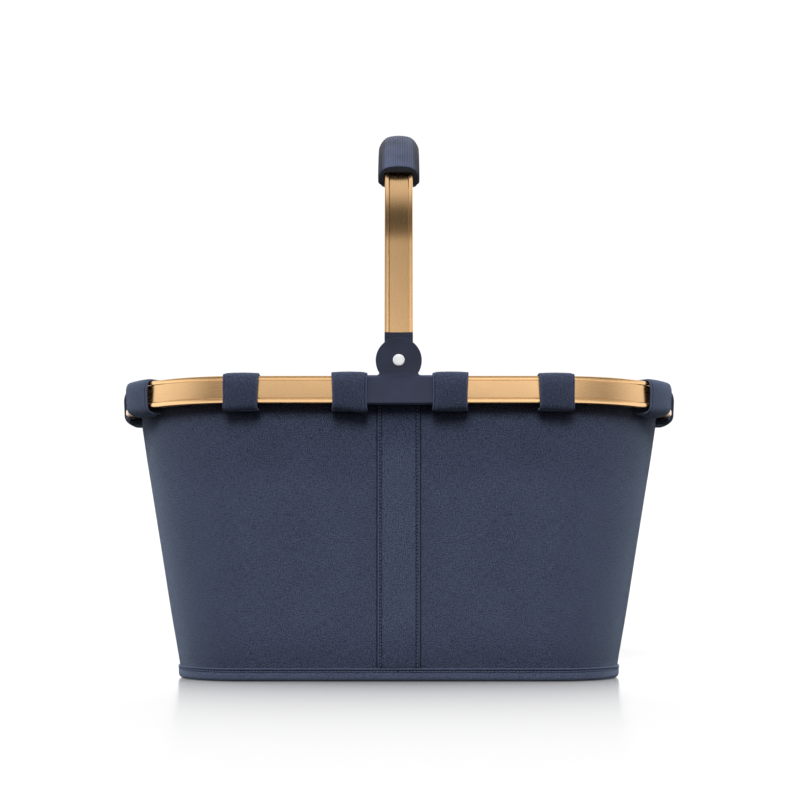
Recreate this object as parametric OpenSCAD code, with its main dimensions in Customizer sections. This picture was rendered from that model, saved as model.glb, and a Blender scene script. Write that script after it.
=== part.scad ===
// Carry basket: a fabric body hung by straps in an aluminium rim frame, with a swinging handle.
// Millimetres, +Z up. The origin is on the table under the middle of the basket.
// X runs along the basket and -Y is its front. Sections are drawn as [outward, up].

/* [Rim frame] */
// Outer length of the rim frame
frame_l = 466; // [430:1:500]
// Outer width of the rim frame
frame_w = 270; // [262:1:290]
// Outer radius of the frame's corners
frame_r = 112; // [90:1:114]
// Height of the frame's top edge above the table
frame_top = 239.3; // [200:0.1:270]
// Height of the frame's tube
frame_h = 21.4; // [19:0.1:24]

/* [Aluminium tube] */
// Thickness of the tube, from its outer face to its inner face
tube_t = 10.5; // [9:0.1:11.5]
// Wall of the tube
tube_wall = 1.2; // [1:0.1:2]
// Radius of the tube's long edges
tube_edge_r = 1; // [0.5:0.1:1.4]
// Width of the raised lip along each edge of the outer face
lip_w = 3.2; // [2:0.1:4]
// Height of the lips above the face between them
lip_d = 0.8; // [0.4:0.1:1.2]

/* [Handle] */
// Width of the handle's tube
leg_w = 22.6; // [19:0.1:23]
// Radius of the handle's bends, at the outer face
bend_r = 105; // [85:1:112]
// Height of the handle's outer face above its pivots
handle_rise = 203.3; // [185:0.1:220]

/* [Grip] */
// Width of the grip
grip_w = 34; // [29:0.5:40]
// Thickness of the grip over the tube
grip_top = 7.5; // [4:0.1:10]
// Thickness of the grip under the tube
grip_under = 2.5; // [1.5:0.1:5]
// Radius of the grip's upper edges
grip_r = 9; // [4:0.5:11]
// Radius of the grip's lower edges
grip_low_r = 4; // [2:0.5:6]
// Angle round the front bend at which the grip ends, from the top
grip_front = 56; // [20:1:65]
// Angle round the back bend at which the grip ends, from the top
grip_back = 12; // [5:1:65]

/* [Hinge] */
// Half the length of the connector between the two frame bows
bar_half = 40; // [34:0.5:44]
// Height of the connector
bar_h = 22.6; // [20:0.1:23.5]
// How far the connector's face stands out from the frame
bar_proud = 1.2; // [0.7:0.1:2]
// Radius of the ear that carries the handle
ear_r = 18.2; // [15:0.1:20]
// Thickness of the ear
ear_t = 4.6; // [3.5:0.1:6]
// Step from the connector's face back to the ear's face
ear_step = 0.6; // [0.3:0.1:1]
// Radius of the fillets between ear and connector
ear_fillet = 1.5; // [1:0.5:5]
// Length of the plugs in the tubes' ends
plug_l = 25; // [16:1:32]
// Height of the handle's end piece above the pivot
end_rise = 23.1; // [20:0.1:28]
// Diameter of the pivot rivet's shank
pivot_d = 5.5; // [4:0.1:7]
// Diameter of the pivot rivet's head
pivot_head_d = 9.4; // [8:0.1:12]
// Height of the pivot rivet's head
pivot_head_h = 2.2; // [1.5:0.1:3]
// Diameter of the washer behind the handle's end
washer_d = 12; // [10:0.1:14]
// Thickness of the washer
washer_t = 1; // [0.6:0.1:1.6]
// Diameter of the small rivets that lock the plugs
lock_d = 4; // [3:0.1:5]

/* [Fabric body] */
// Length of the base, without its binding
base_l = 362.4; // [330:0.1:400]
// Width of the base, without its binding
base_w = 200; // [180:0.1:225]
// Corner radius of the base
base_r = 59; // [40:1:80]
// Thickness of the walls
wall_t = 2; // [1.5:0.1:2.4]
// Distance of the walls' top edge below the frame's top
rim_drop = 10.6; // [8:0.1:13]
// Height of the upright collar at the top of the walls
collar_h = 19.6; // [16:0.1:24]
// Gap between the frame and the collar
collar_gap = 3; // [1.8:0.1:3.6]
// Height of the binding round the base
band_h = 10.3; // [8:0.1:16]
// Thickness of the binding round the base
band_t = 0.9; // [0.6:0.1:1.4]
// Thickness of the base panel
panel_t = 2; // [1.2:0.1:2.5]
// Thickness of the stiffening board on the base panel
board_t = 2; // [1.5:0.1:5]
// Thickness of the binding on the walls' top edge
hem_t = 0.7; // [0.4:0.1:1]
// Height of the binding on the walls' top edge
hem_h = 8; // [5:0.1:11]
// Width of the straps sewn over the centre seams
seam_strap_w = 35.7; // [25:0.1:42]
// Thickness of the straps sewn over the centre seams
seam_strap_t = 1.2; // [0.8:0.1:1.6]

/* [Hanging straps] */
// Width of each hanging strap
strap_w = 28.4; // [22:0.1:32]
// Thickness of each hanging strap
strap_t = 2; // [1.4:0.1:2.4]
// Distance of the straps' lower edge below the frame
strap_drop = 5.8; // [4.5:0.1:7]
// How far the loose straps round the ends stand off the frame
strap_slack = 2.8; // [0:0.1:3.2]
// Distance along the rim from its front middle to the inner straps
strap_inner = 40; // [34:0.5:44]
// Distance along the rim from its front middle to the outer straps
strap_outer = 124; // [95:0.5:140]
// Distance along the rim from its front middle to the corner straps
strap_corner = 222.6; // [205:0.1:240]
// Height of the hook-and-loop pads
pad_h = 13; // [8:0.5:15]
// Thickness of the hook-and-loop pads
pad_t = 1; // [0.6:0.1:1.4]

/* [Inner pocket] */
// Width of the pocket on the back wall
pocket_w = 200; // [150:1:220]
// Depth of the pocket below its zip
pocket_h = 90; // [60:1:110]
// Distance of the pocket's lower edge up the back wall
pocket_up = 70; // [40:1:75]
// Thickness of the pocket's fabric
pocket_t = 1.2; // [0.8:0.1:1.6]
// Width of the zip tape
tape_w = 16; // [12:0.5:20]
// Length of each zip tooth across the zip
tooth_w = 3.2; // [2.6:0.1:3.6]
// Distance from one zip tooth to the next
tooth_pitch = 3; // [2.6:0.1:4]
// Length of the zip's puller
puller_l = 18; // [12:0.5:24]

/* [Hidden] */
$fn = 96;

metal = [0.93, 0.78, 0.60];
navy = [0.20, 0.23, 0.34];
navy_plastic = [0.16, 0.18, 0.26];

// Clearances
plug_fit = 0.15;       // plug in tube, all round
rivet_fit = 0.02;      // lock rivet in its hole
pin_fit = 0.05;        // turning pin in its bore
side_play = 0.3;       // along a pivot, between what turns and what stands
seat_gap = 0.2;        // soft piece on its neighbour
strap_seat = 0.4;      // hanging strap on the frame's outer face
cut = 1;               // how far a cutter runs past what it cuts
slice = 0.05;          // thickness of the slice that a leaning wall starts from

// Path of the rim, a quarter from the front middle to the side middle
straight_x = frame_l / 2 - frame_r;
straight_y = frame_w / 2 - frame_r;
arc_length = frame_r * PI / 2;
quarter = straight_x + arc_length + straight_y;
frame_z = frame_top - frame_h;

// Hinge
bar_face = frame_w / 2 + bar_proud;
bar_rise = (bar_h - frame_h) / 2;
bar_z = frame_z - bar_rise;
ear_face = bar_face - ear_step;
leg_y = ear_face - ear_t - side_play;
end_r = leg_w / 2;
pivot_z = bar_z + bar_h + end_r + side_play;
washer_y = leg_y - tube_t - side_play;
tail_d = 8;
tail_h = 1.8;
lock_head_d = 7;
lock_head_h = 1;
lock_depth = 4;

// Handle
flat_half = leg_y - bend_r;
handle_z = pivot_z + handle_rise;
bend_z = handle_z - bend_r;
leg_z = pivot_z + end_rise;

// Fabric body
collar_in = tube_t + collar_gap;
wall_top = frame_top - rim_drop;
collar_z = wall_top - collar_h;
collar_l = frame_l - 2 * collar_in;
collar_w = frame_w - 2 * collar_in;
collar_r = frame_r - collar_in;
lean = atan((collar_w - base_w) / 2 / (collar_z - band_h));

// Hanging straps
strap_in = collar_in + wall_t + pad_t + 2 * seat_gap;
strap_z = frame_z - strap_drop;
pad_inset = 3;

// Zip, in the plane of the back wall
zip_z = pocket_up + pocket_h + seat_gap + tape_w / 2;
tape_end = 6;
zip_half = pocket_w / 2 - tape_end;
stop_w = 2;
tape_t = 0.8;
tooth_t = 1.3;
tooth_l = 1.4;
slider_l = 10;
slider_wall = 1.2;
slider_y = seat_gap + tape_t + tooth_t + side_play;
slider_z = tooth_w / 2 + side_play;
slider_home = -zip_half + slider_l;
pin_d = 1.4;
eye_r = 1.3;
pin_y = slider_y + slider_wall + eye_r + 0.1;
eye_w = 3.6;
cheek_w = 1;
puller_w = 6;
puller_t = 1;
puller_r = 1;
cord_hole_d = 2.4;
cord_hole_in = 3;

// Rectangle with round corners, its lower left corner at the origin
module round_rect(w, h, r) {
    translate([r, 0]) square([w - 2 * r, h]);
    translate([0, r]) square([w, h - 2 * r]);
    for (x = [r, w - r], y = [r, h - r])
        translate([x, y]) circle(r);
}

// Solid with round upright corners, centred on the origin
module round_slab(l, w, r, h) {
    linear_extrude(h) translate([-l / 2, -w / 2]) round_rect(l, w, r);
}

// Carries a section along the front right quarter of the rim, between two distances on it
module along_rim(from, to) {
    arc_from = max(from, straight_x);
    arc_to = min(to, straight_x + arc_length);
    if (from < straight_x)
        translate([min(to, straight_x), -frame_w / 2, 0]) rotate([90, 0, -90])
            linear_extrude(min(to, straight_x) - from) children();
    if (arc_from < arc_to)
        translate([straight_x, -straight_y, 0])
            rotate([0, 0, -90 + (arc_from - straight_x) / frame_r * 180 / PI])
                rotate_extrude(angle = (arc_to - arc_from) / frame_r * 180 / PI)
                    translate([frame_r, 0]) children();
    if (to > straight_x + arc_length)
        translate([frame_l / 2, to - quarter, 0]) rotate([90, 0, 0])
            linear_extrude(to - max(from, straight_x + arc_length)) children();
}

// Carries a section along the side middle of the rim
module across_side(w) {
    translate([frame_l / 2, w / 2, 0]) rotate([90, 0, 0]) linear_extrude(w) children();
}

// Section of the aluminium tube, its outer face on the Y axis and its lower edge on the X axis
module tube_section(w) {
    difference() {
        translate([-tube_t, 0]) round_rect(tube_t, w, tube_edge_r);
        translate([-lip_d, lip_w]) square([lip_d + cut, w - 2 * lip_w]);
        tube_cavity(w, 0);
    }
}

// Section of the tube's cavity, or of a plug in it
module tube_cavity(w, fit) {
    translate([tube_wall - tube_t + fit, tube_wall + fit])
        square([tube_t - lip_d - 2 * tube_wall - 2 * fit, w - 2 * tube_wall - 2 * fit]);
}

// A rivet along Z with its domed head above the origin
module rivet(d, length, head_d, head_h) {
    translate([0, 0, -length]) cylinder(d = d, h = length);
    dome(head_d, head_h);
}

// A spherical cap on the XY plane
module dome(d, h) {
    r = (d * d / 4 + h * h) / (2 * h);
    intersection() {
        translate([0, 0, h - r]) sphere(r);
        cylinder(d = d + cut, h = h + cut);
    }
}

// Places of the lock rivets on the frame's inner face, pointing inward
module frame_locks() {
    for (x = [-1, 1], y = [0, 1])
        mirror([0, y, 0]) rotate([-90, 0, 0])
            translate([x * (bar_half + plug_l / 2), -frame_z - frame_h / 2, tube_t - frame_w / 2])
                children();
}

// Places of the lock rivets on the handle's inner faces, pointing inward
module handle_locks() {
    for (y = [0, 1])
        mirror([0, y, 0]) translate([0, tube_t - leg_y, leg_z + plug_l / 2])
            rotate([-90, 0, 0]) children();
}

module lock_hole() {
    depth = lock_depth + side_play;
    translate([0, 0, -depth]) cylinder(d = lock_d + 2 * rivet_fit, h = depth + cut);
}

module pivot_bore() {
    translate([0, 0, pivot_z]) rotate([90, 0, 0]) cylinder(d = pivot_d + 2 * pin_fit, h = frame_w);
}

module frame_bow(side) {
    color(metal) difference() {
        for (back = [0, 1])
            mirror([side, 0, 0]) mirror([0, back, 0]) along_rim(bar_half, quarter)
                translate([0, frame_z]) tube_section(frame_h);
        frame_locks() lock_hole();
    }
}

// Ear outline in [across, up], with fillets down to the connector's top
module ear_outline() {
    rise = pivot_z - bar_z - bar_h;
    reach = sqrt(pow(ear_r + ear_fillet, 2) - pow(rise - ear_fillet, 2));
    fillet_top = ear_fillet * (1 + (rise - ear_fillet) / (ear_r + ear_fillet));
    translate([0, pivot_z]) circle(ear_r);
    for (side = [0, 1])
        mirror([side, 0]) translate([0, bar_z + bar_h]) difference() {
            translate([0, -cut]) square([reach, fillet_top + cut]);
            translate([reach, ear_fillet]) circle(ear_fillet);
        }
}

// The connector at the front, with its ear and its two plugs
module hinge_connector() {
    color(navy_plastic) difference() {
        union() {
            difference() {
                translate([-bar_half, 0, 0]) rotate([90, 0, 90]) linear_extrude(2 * bar_half)
                    translate([-bar_face, bar_z])
                        round_rect(tube_t + bar_proud, bar_h, tube_edge_r);
                translate([0, -ear_face, pivot_z]) rotate([90, 0, 0])
                    cylinder(r = ear_r, h = ear_step + cut);
            }
            translate([0, ear_t - ear_face, 0]) rotate([90, 0, 0])
                linear_extrude(ear_t) ear_outline();
            for (side = [0, 1])
                mirror([side, 0, 0]) along_rim(bar_half - cut, bar_half + plug_l)
                    translate([0, frame_z]) tube_cavity(frame_h, plug_fit);
        }
        pivot_bore();
        frame_locks() lock_hole();
    }
}

module frame_lock_rivets() {
    color("silver") frame_locks() rivet(lock_d, lock_depth, lock_head_d, lock_head_h);
}

// Carries a section over the top of the handle, to an angle round each bend
module handle_top(front, back) {
    translate([0, -flat_half, handle_z]) rotate([0, -90, -90])
        linear_extrude(2 * flat_half) children();
    for (side = [0, 1])
        mirror([0, side, 0]) translate([0, -flat_half, bend_z]) rotate([0, 90, 0])
            rotate([0, 0, 180]) rotate_extrude(angle = [front, back][side])
                translate([bend_r, 0]) children();
}

module handle_bow() {
    color(metal) difference() {
        union() {
            handle_top(90, 90) translate([0, -leg_w / 2]) tube_section(leg_w);
            for (back = [0, 1])
                mirror([0, back, 0]) translate([0, -leg_y, leg_z]) rotate([0, 0, -90])
                    linear_extrude(bend_z - leg_z) translate([0, -leg_w / 2]) tube_section(leg_w);
        }
        handle_locks() lock_hole();
    }
}

// Plastic end of the handle at the front: an eye on the pivot and a plug in the tube
module handle_end() {
    color(navy_plastic) difference() {
        union() {
            translate([0, tube_t - leg_y, pivot_z]) rotate([90, 0, 0])
                cylinder(r = end_r, h = tube_t);
            translate([-end_r, -leg_y, pivot_z]) cube([leg_w, tube_t, end_rise]);
            translate([0, -leg_y, leg_z - cut]) rotate([0, 0, -90])
                linear_extrude(plug_l + cut)
                    translate([0, -leg_w / 2]) tube_cavity(leg_w, plug_fit);
        }
        pivot_bore();
        handle_locks() lock_hole();
    }
}

module handle_lock_rivets() {
    color("silver") handle_locks() rivet(lock_d, lock_depth, lock_head_d, lock_head_h);
}

// Section of the grip, in [outward, across]
module grip_section() {
    h = grip_top + tube_t + grip_under;
    translate([-tube_t - grip_under, -grip_w / 2]) difference() {
        union() {
            translate([grip_low_r, 0]) square([h - grip_low_r - grip_r, grip_w]);
            translate([0, grip_low_r]) square([grip_low_r, grip_w - 2 * grip_low_r]);
            translate([h - grip_r, grip_r]) square([grip_r, grip_w - 2 * grip_r]);
            for (y = [grip_low_r, grip_w - grip_low_r])
                translate([grip_low_r, y]) circle(grip_low_r);
            for (y = [grip_r, grip_w - grip_r])
                translate([h - grip_r, y]) circle(grip_r);
        }
        translate([grip_under - seat_gap, (grip_w - leg_w) / 2 - seat_gap])
            square([tube_t + 2 * seat_gap, leg_w + 2 * seat_gap]);
    }
}

module handle_grip() {
    color(navy) handle_top(grip_front, grip_back) grip_section();
}

// Rivet at the front: head on the ear's face and shank as far as the washer
module pivot_rivet() {
    color("silver") {
        translate([0, -ear_face, pivot_z]) rotate([90, 0, 0])
            rivet(pivot_d, ear_face - washer_y + washer_t, pivot_head_d, pivot_head_h);
        translate([0, washer_t - washer_y, pivot_z]) rotate([-90, 0, 0]) dome(tail_d, tail_h);
    }
}

module pivot_washer() {
    color("silver") translate([0, washer_t - washer_y, pivot_z]) rotate([90, 0, 0]) difference() {
        cylinder(d = washer_d, h = washer_t);
        translate([0, 0, -cut]) cylinder(d = pivot_d + 2 * rivet_fit, h = washer_t + 2 * cut);
    }
}

// Fabric body as one solid, grown outward. It is upright round the base and at the collar
// and leans between them
module body_form(grow, low, high) {
    module base_slab(height)
        round_slab(base_l + 2 * grow, base_w + 2 * grow, base_r + grow, height);
    translate([0, 0, low]) base_slab(band_h - low);
    hull() {
        translate([0, 0, band_h - slice]) base_slab(slice);
        translate([0, 0, collar_z])
            round_slab(collar_l + 2 * grow, collar_w + 2 * grow, collar_r + grow, high - collar_z);
    }
}

// One wrap of the wall, from the front seam round the end to the back seam
module wall(side) {
    color(navy) difference() {
        body_form(0, 0, wall_top);
        body_form(-wall_t, -cut, wall_top + cut);
        translate([side * (frame_l / 2 - seat_gap / 2), 0, wall_top / 2])
            cube([frame_l, frame_w, wall_top + 2 * cut], center = true);
    }
}

// Strap over the front seam, from the base binding to the rim binding
module seam_strap() {
    out = seam_strap_t + seat_gap;
    low = band_h + seat_gap;
    low_out = tan(lean) * seat_gap;
    high = wall_top - hem_h - seat_gap;
    color(navy) translate([-seam_strap_w / 2, 0, 0]) rotate([90, 0, 90])
        linear_extrude(seam_strap_w) polygon([
            [-base_w / 2 - low_out - seat_gap, low], [-base_w / 2 - low_out - out, low],
            [-collar_w / 2 - out, collar_z], [-collar_w / 2 - out, high],
            [-collar_w / 2 - seat_gap, high], [-collar_w / 2 - seat_gap, collar_z]]);
}

// Binding folded over the walls' top edge, all the way round
module rim_binding() {
    out = -collar_in + seat_gap / 2;
    gap = wall_t + seat_gap;
    color(navy) for (x = [0, 1], y = [0, 1])
        mirror([x, 0, 0]) mirror([0, y, 0]) along_rim(0, quarter) difference() {
            translate([out - gap - hem_t, wall_top - hem_h])
                square([gap + 2 * hem_t, hem_h + seat_gap + hem_t]);
            translate([out - gap, wall_top - hem_h - cut]) square([gap, hem_h + seat_gap + cut]);
        }
}

module base_panel() {
    in = wall_t + seat_gap;
    color(navy) round_slab(base_l - 2 * in, base_w - 2 * in, base_r - in, panel_t);
}

module base_board() {
    in = wall_t + 2 * seat_gap;
    color("dimgray") translate([0, 0, panel_t])
        round_slab(base_l - 2 * in, base_w - 2 * in, base_r - in, board_t);
}

module base_binding() {
    in = seat_gap / 2;
    out = in + band_t;
    color(navy) difference() {
        round_slab(base_l + 2 * out, base_w + 2 * out, base_r + out, band_h);
        translate([0, 0, -cut])
            round_slab(base_l + 2 * in, base_w + 2 * in, base_r + in, band_h + 2 * cut);
    }
}

// Section of a hanging strap: from the wall out under the frame, up, over it and down inside,
// standing off the frame's outer face and top
module strap_section(out, rise) {
    face = strap_seat + out;
    top = frame_top + seat_gap + rise;
    inner_z = strap_z - strap_t / 2;
    translate([face, strap_z]) square([strap_t, top + strap_t - strap_z]);
    translate([seat_gap - collar_in, strap_z])
        square([collar_in - seat_gap + face + strap_t / 2, strap_t]);
    translate([-strap_in - strap_t, top])
        square([strap_in + strap_t + face + strap_t / 2, strap_t]);
    translate([-strap_in - strap_t, inner_z]) square([strap_t, top + strap_t - inner_z]);
}

module pad_section() {
    translate([-collar_in - wall_t - seat_gap - pad_t, strap_z])
        square([pad_t, min(pad_h, wall_top - hem_h - seat_gap - strap_z)]);
}

// Carries a section over the width of one strap at a distance along the rim, in one of four corners
module at_strap(side, back, distance, w) {
    color(navy) mirror([side, 0, 0]) mirror([0, back, 0])
        along_rim(distance - w / 2, distance + w / 2) children();
}

module closure_pads() {
    w = strap_w - 2 * pad_inset;
    for (side = [0, 1]) {
        for (back = [0, 1], distance = [strap_inner, strap_outer, strap_corner])
            at_strap(side, back, distance, w) pad_section();
        color(navy) mirror([side, 0, 0]) across_side(w) pad_section();
    }
}

// The inner straps wrap the connectors, the outer ones the bows, and the others hang looser
module inner_strap(side, back) {
    at_strap(side, back, strap_inner, strap_w) strap_section(bar_proud, bar_rise);
}

module outer_strap(side, back) {
    at_strap(side, back, strap_outer, strap_w) strap_section(0, 0);
}

module corner_strap(side, back) {
    at_strap(side, back, strap_corner, strap_w) strap_section(strap_slack, 0);
}

module side_strap(side) {
    color(navy) mirror([side, 0, 0]) across_side(strap_w) strap_section(strap_slack, 0);
}

// Stands on the inner face of the back wall: Y is 0 on the fabric and Z runs up it
module on_back_wall() {
    translate([0, base_w / 2 - wall_t, band_h]) rotate([-lean, 0, 0]) children();
}

module pocket_panel() {
    color(navy) on_back_wall() translate([-pocket_w / 2, -seat_gap - pocket_t, pocket_up])
        cube([pocket_w, pocket_t, pocket_h]);
}

module zip_tape() {
    color(navy_plastic) on_back_wall()
        translate([-pocket_w / 2, -seat_gap - tape_t, zip_z - tape_w / 2])
            cube([pocket_w, tape_t, tape_w]);
}

module zip_teeth() {
    color(navy_plastic) on_back_wall()
        for (x = [-zip_half : tooth_pitch : zip_half - tooth_l])
            translate([x, -seat_gap - tape_t - tooth_t, zip_z - tooth_w / 2])
                cube([tooth_l, tooth_t, tooth_w]);
}

module zip_stops() {
    color("silver") on_back_wall() for (side = [-1, 1])
        translate([side * (zip_half + stop_w) - stop_w / 2, 0, zip_z - tooth_w / 2])
            translate([0, -seat_gap - tape_t - tooth_t, 0]) cube([stop_w, tooth_t, tooth_w]);
}

// Slider over the teeth, with two cheeks and a pin for the puller
module zip_slider() {
    cheek_z = eye_w / 2 + side_play;
    depth = slider_y - seat_gap - tape_t - side_play;
    color("silver") on_back_wall() translate([slider_home, 0, zip_z]) {
        translate([-slider_l / 2, -slider_y - slider_wall, -slider_z - slider_wall])
            cube([slider_l, slider_wall, 2 * (slider_z + slider_wall)]);
        for (side = [0, 1]) mirror([0, 0, side]) {
            translate([-slider_l / 2, -slider_y - slider_wall, slider_z])
                cube([slider_l, depth + slider_wall, slider_wall]);
            translate([-eye_r, -pin_y, cheek_z])
                cube([2 * eye_r, pin_y - slider_y - slider_wall / 2, cheek_w]);
            translate([0, -pin_y, cheek_z]) cylinder(r = eye_r, h = cheek_w);
        }
        translate([0, -pin_y, -cheek_z - cheek_w]) cylinder(d = pin_d, h = 2 * (cheek_z + cheek_w));
    }
}

// Puller, an eye on the slider's pin and a flat tab
module zip_puller() {
    neck = eye_r + cheek_w + side_play + puller_r;
    color("silver") on_back_wall() translate([slider_home, -pin_y, zip_z]) difference() {
        union() {
            translate([0, 0, -eye_w / 2]) cylinder(r = eye_r, h = eye_w);
            translate([0, -puller_t / 2, -eye_w / 2]) cube([neck, puller_t, eye_w]);
            translate([neck, puller_t / 2, 0]) rotate([90, 0, 0]) linear_extrude(puller_t)
                translate([-puller_r, -puller_w / 2])
                    round_rect(puller_l - neck + puller_r, puller_w, puller_r);
        }
        translate([0, 0, -eye_w]) cylinder(d = pin_d + 2 * pin_fit, h = 2 * eye_w);
        translate([puller_l - cord_hole_in, puller_w, 0]) rotate([90, 0, 0])
            cylinder(d = cord_hole_d, h = 2 * puller_w);
    }
}

frame_bow(1);  // frame_bow_left
frame_bow(0);  // frame_bow_right
hinge_connector();  // hinge_connector_front
mirror([0, 1, 0]) hinge_connector();  // hinge_connector_back
frame_lock_rivets();
handle_bow();
handle_end();  // handle_end_front
mirror([0, 1, 0]) handle_end();  // handle_end_back
handle_lock_rivets();
handle_grip();
pivot_rivet();  // pivot_rivet_front
mirror([0, 1, 0]) pivot_rivet();  // pivot_rivet_back
pivot_washer();  // pivot_washer_front
mirror([0, 1, 0]) pivot_washer();  // pivot_washer_back
wall(1);  // wall_left
wall(-1);  // wall_right
seam_strap();  // seam_strap_front
mirror([0, 1, 0]) seam_strap();  // seam_strap_back
rim_binding();
base_panel();
base_board();
base_binding();
closure_pads();
outer_strap(1, 0);  // strap_front_1
inner_strap(1, 0);  // strap_front_2
inner_strap(0, 0);  // strap_front_3
outer_strap(0, 0);  // strap_front_4
outer_strap(1, 1);  // strap_back_1
inner_strap(1, 1);  // strap_back_2
inner_strap(0, 1);  // strap_back_3
outer_strap(0, 1);  // strap_back_4
corner_strap(1, 0);  // strap_corner_1
corner_strap(0, 0);  // strap_corner_2
corner_strap(0, 1);  // strap_corner_3
corner_strap(1, 1);  // strap_corner_4
side_strap(1);  // strap_side_left
side_strap(0);  // strap_side_right
pocket_panel();
zip_tape();
zip_teeth();
zip_stops();
zip_slider();
zip_puller();
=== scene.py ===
"""A fabric carry basket hung by straps in an aluminium rim frame, with a swinging handle.

Sizes are in millimetres until a mesh is made, in the CAD's frame: +Z is up, X runs along
the basket and -Y is its front.
"""

import math
import random

import bpy
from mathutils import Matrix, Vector, noise


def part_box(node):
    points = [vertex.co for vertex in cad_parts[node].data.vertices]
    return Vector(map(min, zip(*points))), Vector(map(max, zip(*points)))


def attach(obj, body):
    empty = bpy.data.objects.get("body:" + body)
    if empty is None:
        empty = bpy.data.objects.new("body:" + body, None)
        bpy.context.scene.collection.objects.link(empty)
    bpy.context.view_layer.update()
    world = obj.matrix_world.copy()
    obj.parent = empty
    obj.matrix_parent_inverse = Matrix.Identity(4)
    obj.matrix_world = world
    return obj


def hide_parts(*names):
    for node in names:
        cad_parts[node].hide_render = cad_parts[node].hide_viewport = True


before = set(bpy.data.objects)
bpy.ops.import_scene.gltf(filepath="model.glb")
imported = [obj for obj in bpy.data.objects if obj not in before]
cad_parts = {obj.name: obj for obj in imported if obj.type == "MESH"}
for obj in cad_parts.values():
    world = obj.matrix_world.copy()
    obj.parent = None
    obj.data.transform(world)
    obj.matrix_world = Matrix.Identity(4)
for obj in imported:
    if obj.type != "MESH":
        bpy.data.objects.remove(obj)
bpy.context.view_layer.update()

MM = 0.001
UP = Vector((0, 0, 1))
ACROSS = Vector((1, 0, 0))


# ---------------------------------------------------------------- sizes

def cad(node):
    """Lowest and highest corner of a CAD node, in millimetres."""
    low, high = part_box(node)
    return low / MM, high / MM


# Rim frame
FRAME_LOW, FRAME_HIGH = cad("frame_bow_right")
FRAME_L = 2 * FRAME_HIGH.x
FRAME_W = 2 * FRAME_HIGH.y
FRAME_R = 112
FRAME_Z = FRAME_LOW.z
FRAME_TOP = FRAME_HIGH.z
FRAME_H = FRAME_TOP - FRAME_Z
BAR_HALF = FRAME_LOW.x

# Aluminium tube
TUBE_T = 10.5
TUBE_R = 1.3
LIP_W = 3.2     # the raised lip along each edge of its outer face
LIP_D = 0.8

# Hinge
BAR_LOW, BAR_HIGH = cad("hinge_connector_front")
BAR_FACE = -BAR_LOW.y
BAR_Z = BAR_LOW.z
BAR_H = 22.6
BAR_TOP = BAR_Z + BAR_H
EAR_R = 18.2
EAR_T = 4.6
EAR_STEP = 0.6     # from the bar's face in to the ear's
EAR_FILLET = 1.5
PIVOT_Z = BAR_HIGH.z - EAR_R
EAR_FACE = BAR_FACE - EAR_STEP
RIVET_D = 5.5
WASHER_Y = -cad("pivot_washer_front")[0].y
LOCK_IN = 12.5     # from a tube's end to its small rivet

# Handle
HANDLE_LOW, HANDLE_HIGH = cad("handle_bow")
LEG_W = HANDLE_HIGH.x - HANDLE_LOW.x
LEG_Y = HANDLE_HIGH.y
HANDLE_Z = HANDLE_HIGH.z
BEND_R = 105
FLAT_HALF = LEG_Y - BEND_R
BEND_Z = HANDLE_Z - BEND_R
LEG_Z = HANDLE_LOW.z
END_R = LEG_W / 2
GRIP_W = 34
GRIP_TOP = 7.5
GRIP_UNDER = 2.5
GRIP_FRONT = 56
GRIP_BACK = 12
GRIP_CROWN = 4     # how far its edges fall away from its middle
RIB_PITCH = 1.9

# Fabric body
BASE_L = 362.4
BASE_W = 200
BASE_R = 59
WALL_T = 2
WALL_TOP = cad("wall_right")[1].z
COLLAR_H = 19.6
COLLAR_GAP = 3     # from the frame in to the collar
COLLAR_IN = TUBE_T + COLLAR_GAP
COLLAR_Z = WALL_TOP - COLLAR_H
ROWS = 52     # rows of cloth to a quarter of the way round
BAND_H = cad("base_binding")[1].z
BAND_T = 0.9
HEM_T = 0.7
HEM_H = 8
SEAM_W = 35.7
SEAT = 0.2     # the gap kept where one part lies on another
STITCH_PITCH = 2.8
STITCH_L = 2.0
STITCH_T = 0.38

# Inner pocket, measured in the plane of the back wall
POCKET_W = 200
POCKET_H = 90
POCKET_UP = 70
POCKET_T = 1.2
TAPE_W = 16
TAPE_T = 0.8
TOOTH_W, TOOTH_T, TOOTH_L = 3.2, 1.3, 1.4
TOOTH_PITCH = 3
ZIP_UP = POCKET_UP + POCKET_H + SEAT + TAPE_W / 2
ZIP_HALF = POCKET_W / 2 - 6
STOP_W = 2
PAD_T = 1
PAD_INSET = 3

# Hanging straps
STRAP_W = 28.4
STRAP_T = 2
STRAP_SEAT = 0.4     # the same for a strap and the frame's outer face
STRAP_Z = FRAME_Z - 5.8
STRAP_IN = COLLAR_IN + WALL_T + PAD_T + 2 * SEAT
WAIST = 0.04     # how much narrower a strap is half way up the frame
STRAP_INNER = 40
STRAP_OUTER = 124
STRAP_CORNER = 222.6
SIDE_SHIFT = 7     # how far the side straps have slid forward


# ---------------------------------------------------------------- materials

FINISHES = {}


class Level:
    """One output of a node. Sums and products of levels make the nodes they need."""

    def __init__(self, nodes, socket):
        self.nodes = nodes
        self.socket = socket

    def math(self, operation, *others):
        return self.nodes.add("Math", self, *others, operation=operation)

    def __add__(self, other):
        return self.math("ADD", other)

    def __mul__(self, other):
        return self.math("MULTIPLY", other)

    def __rsub__(self, other):
        return self * -1.0 + other


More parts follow.
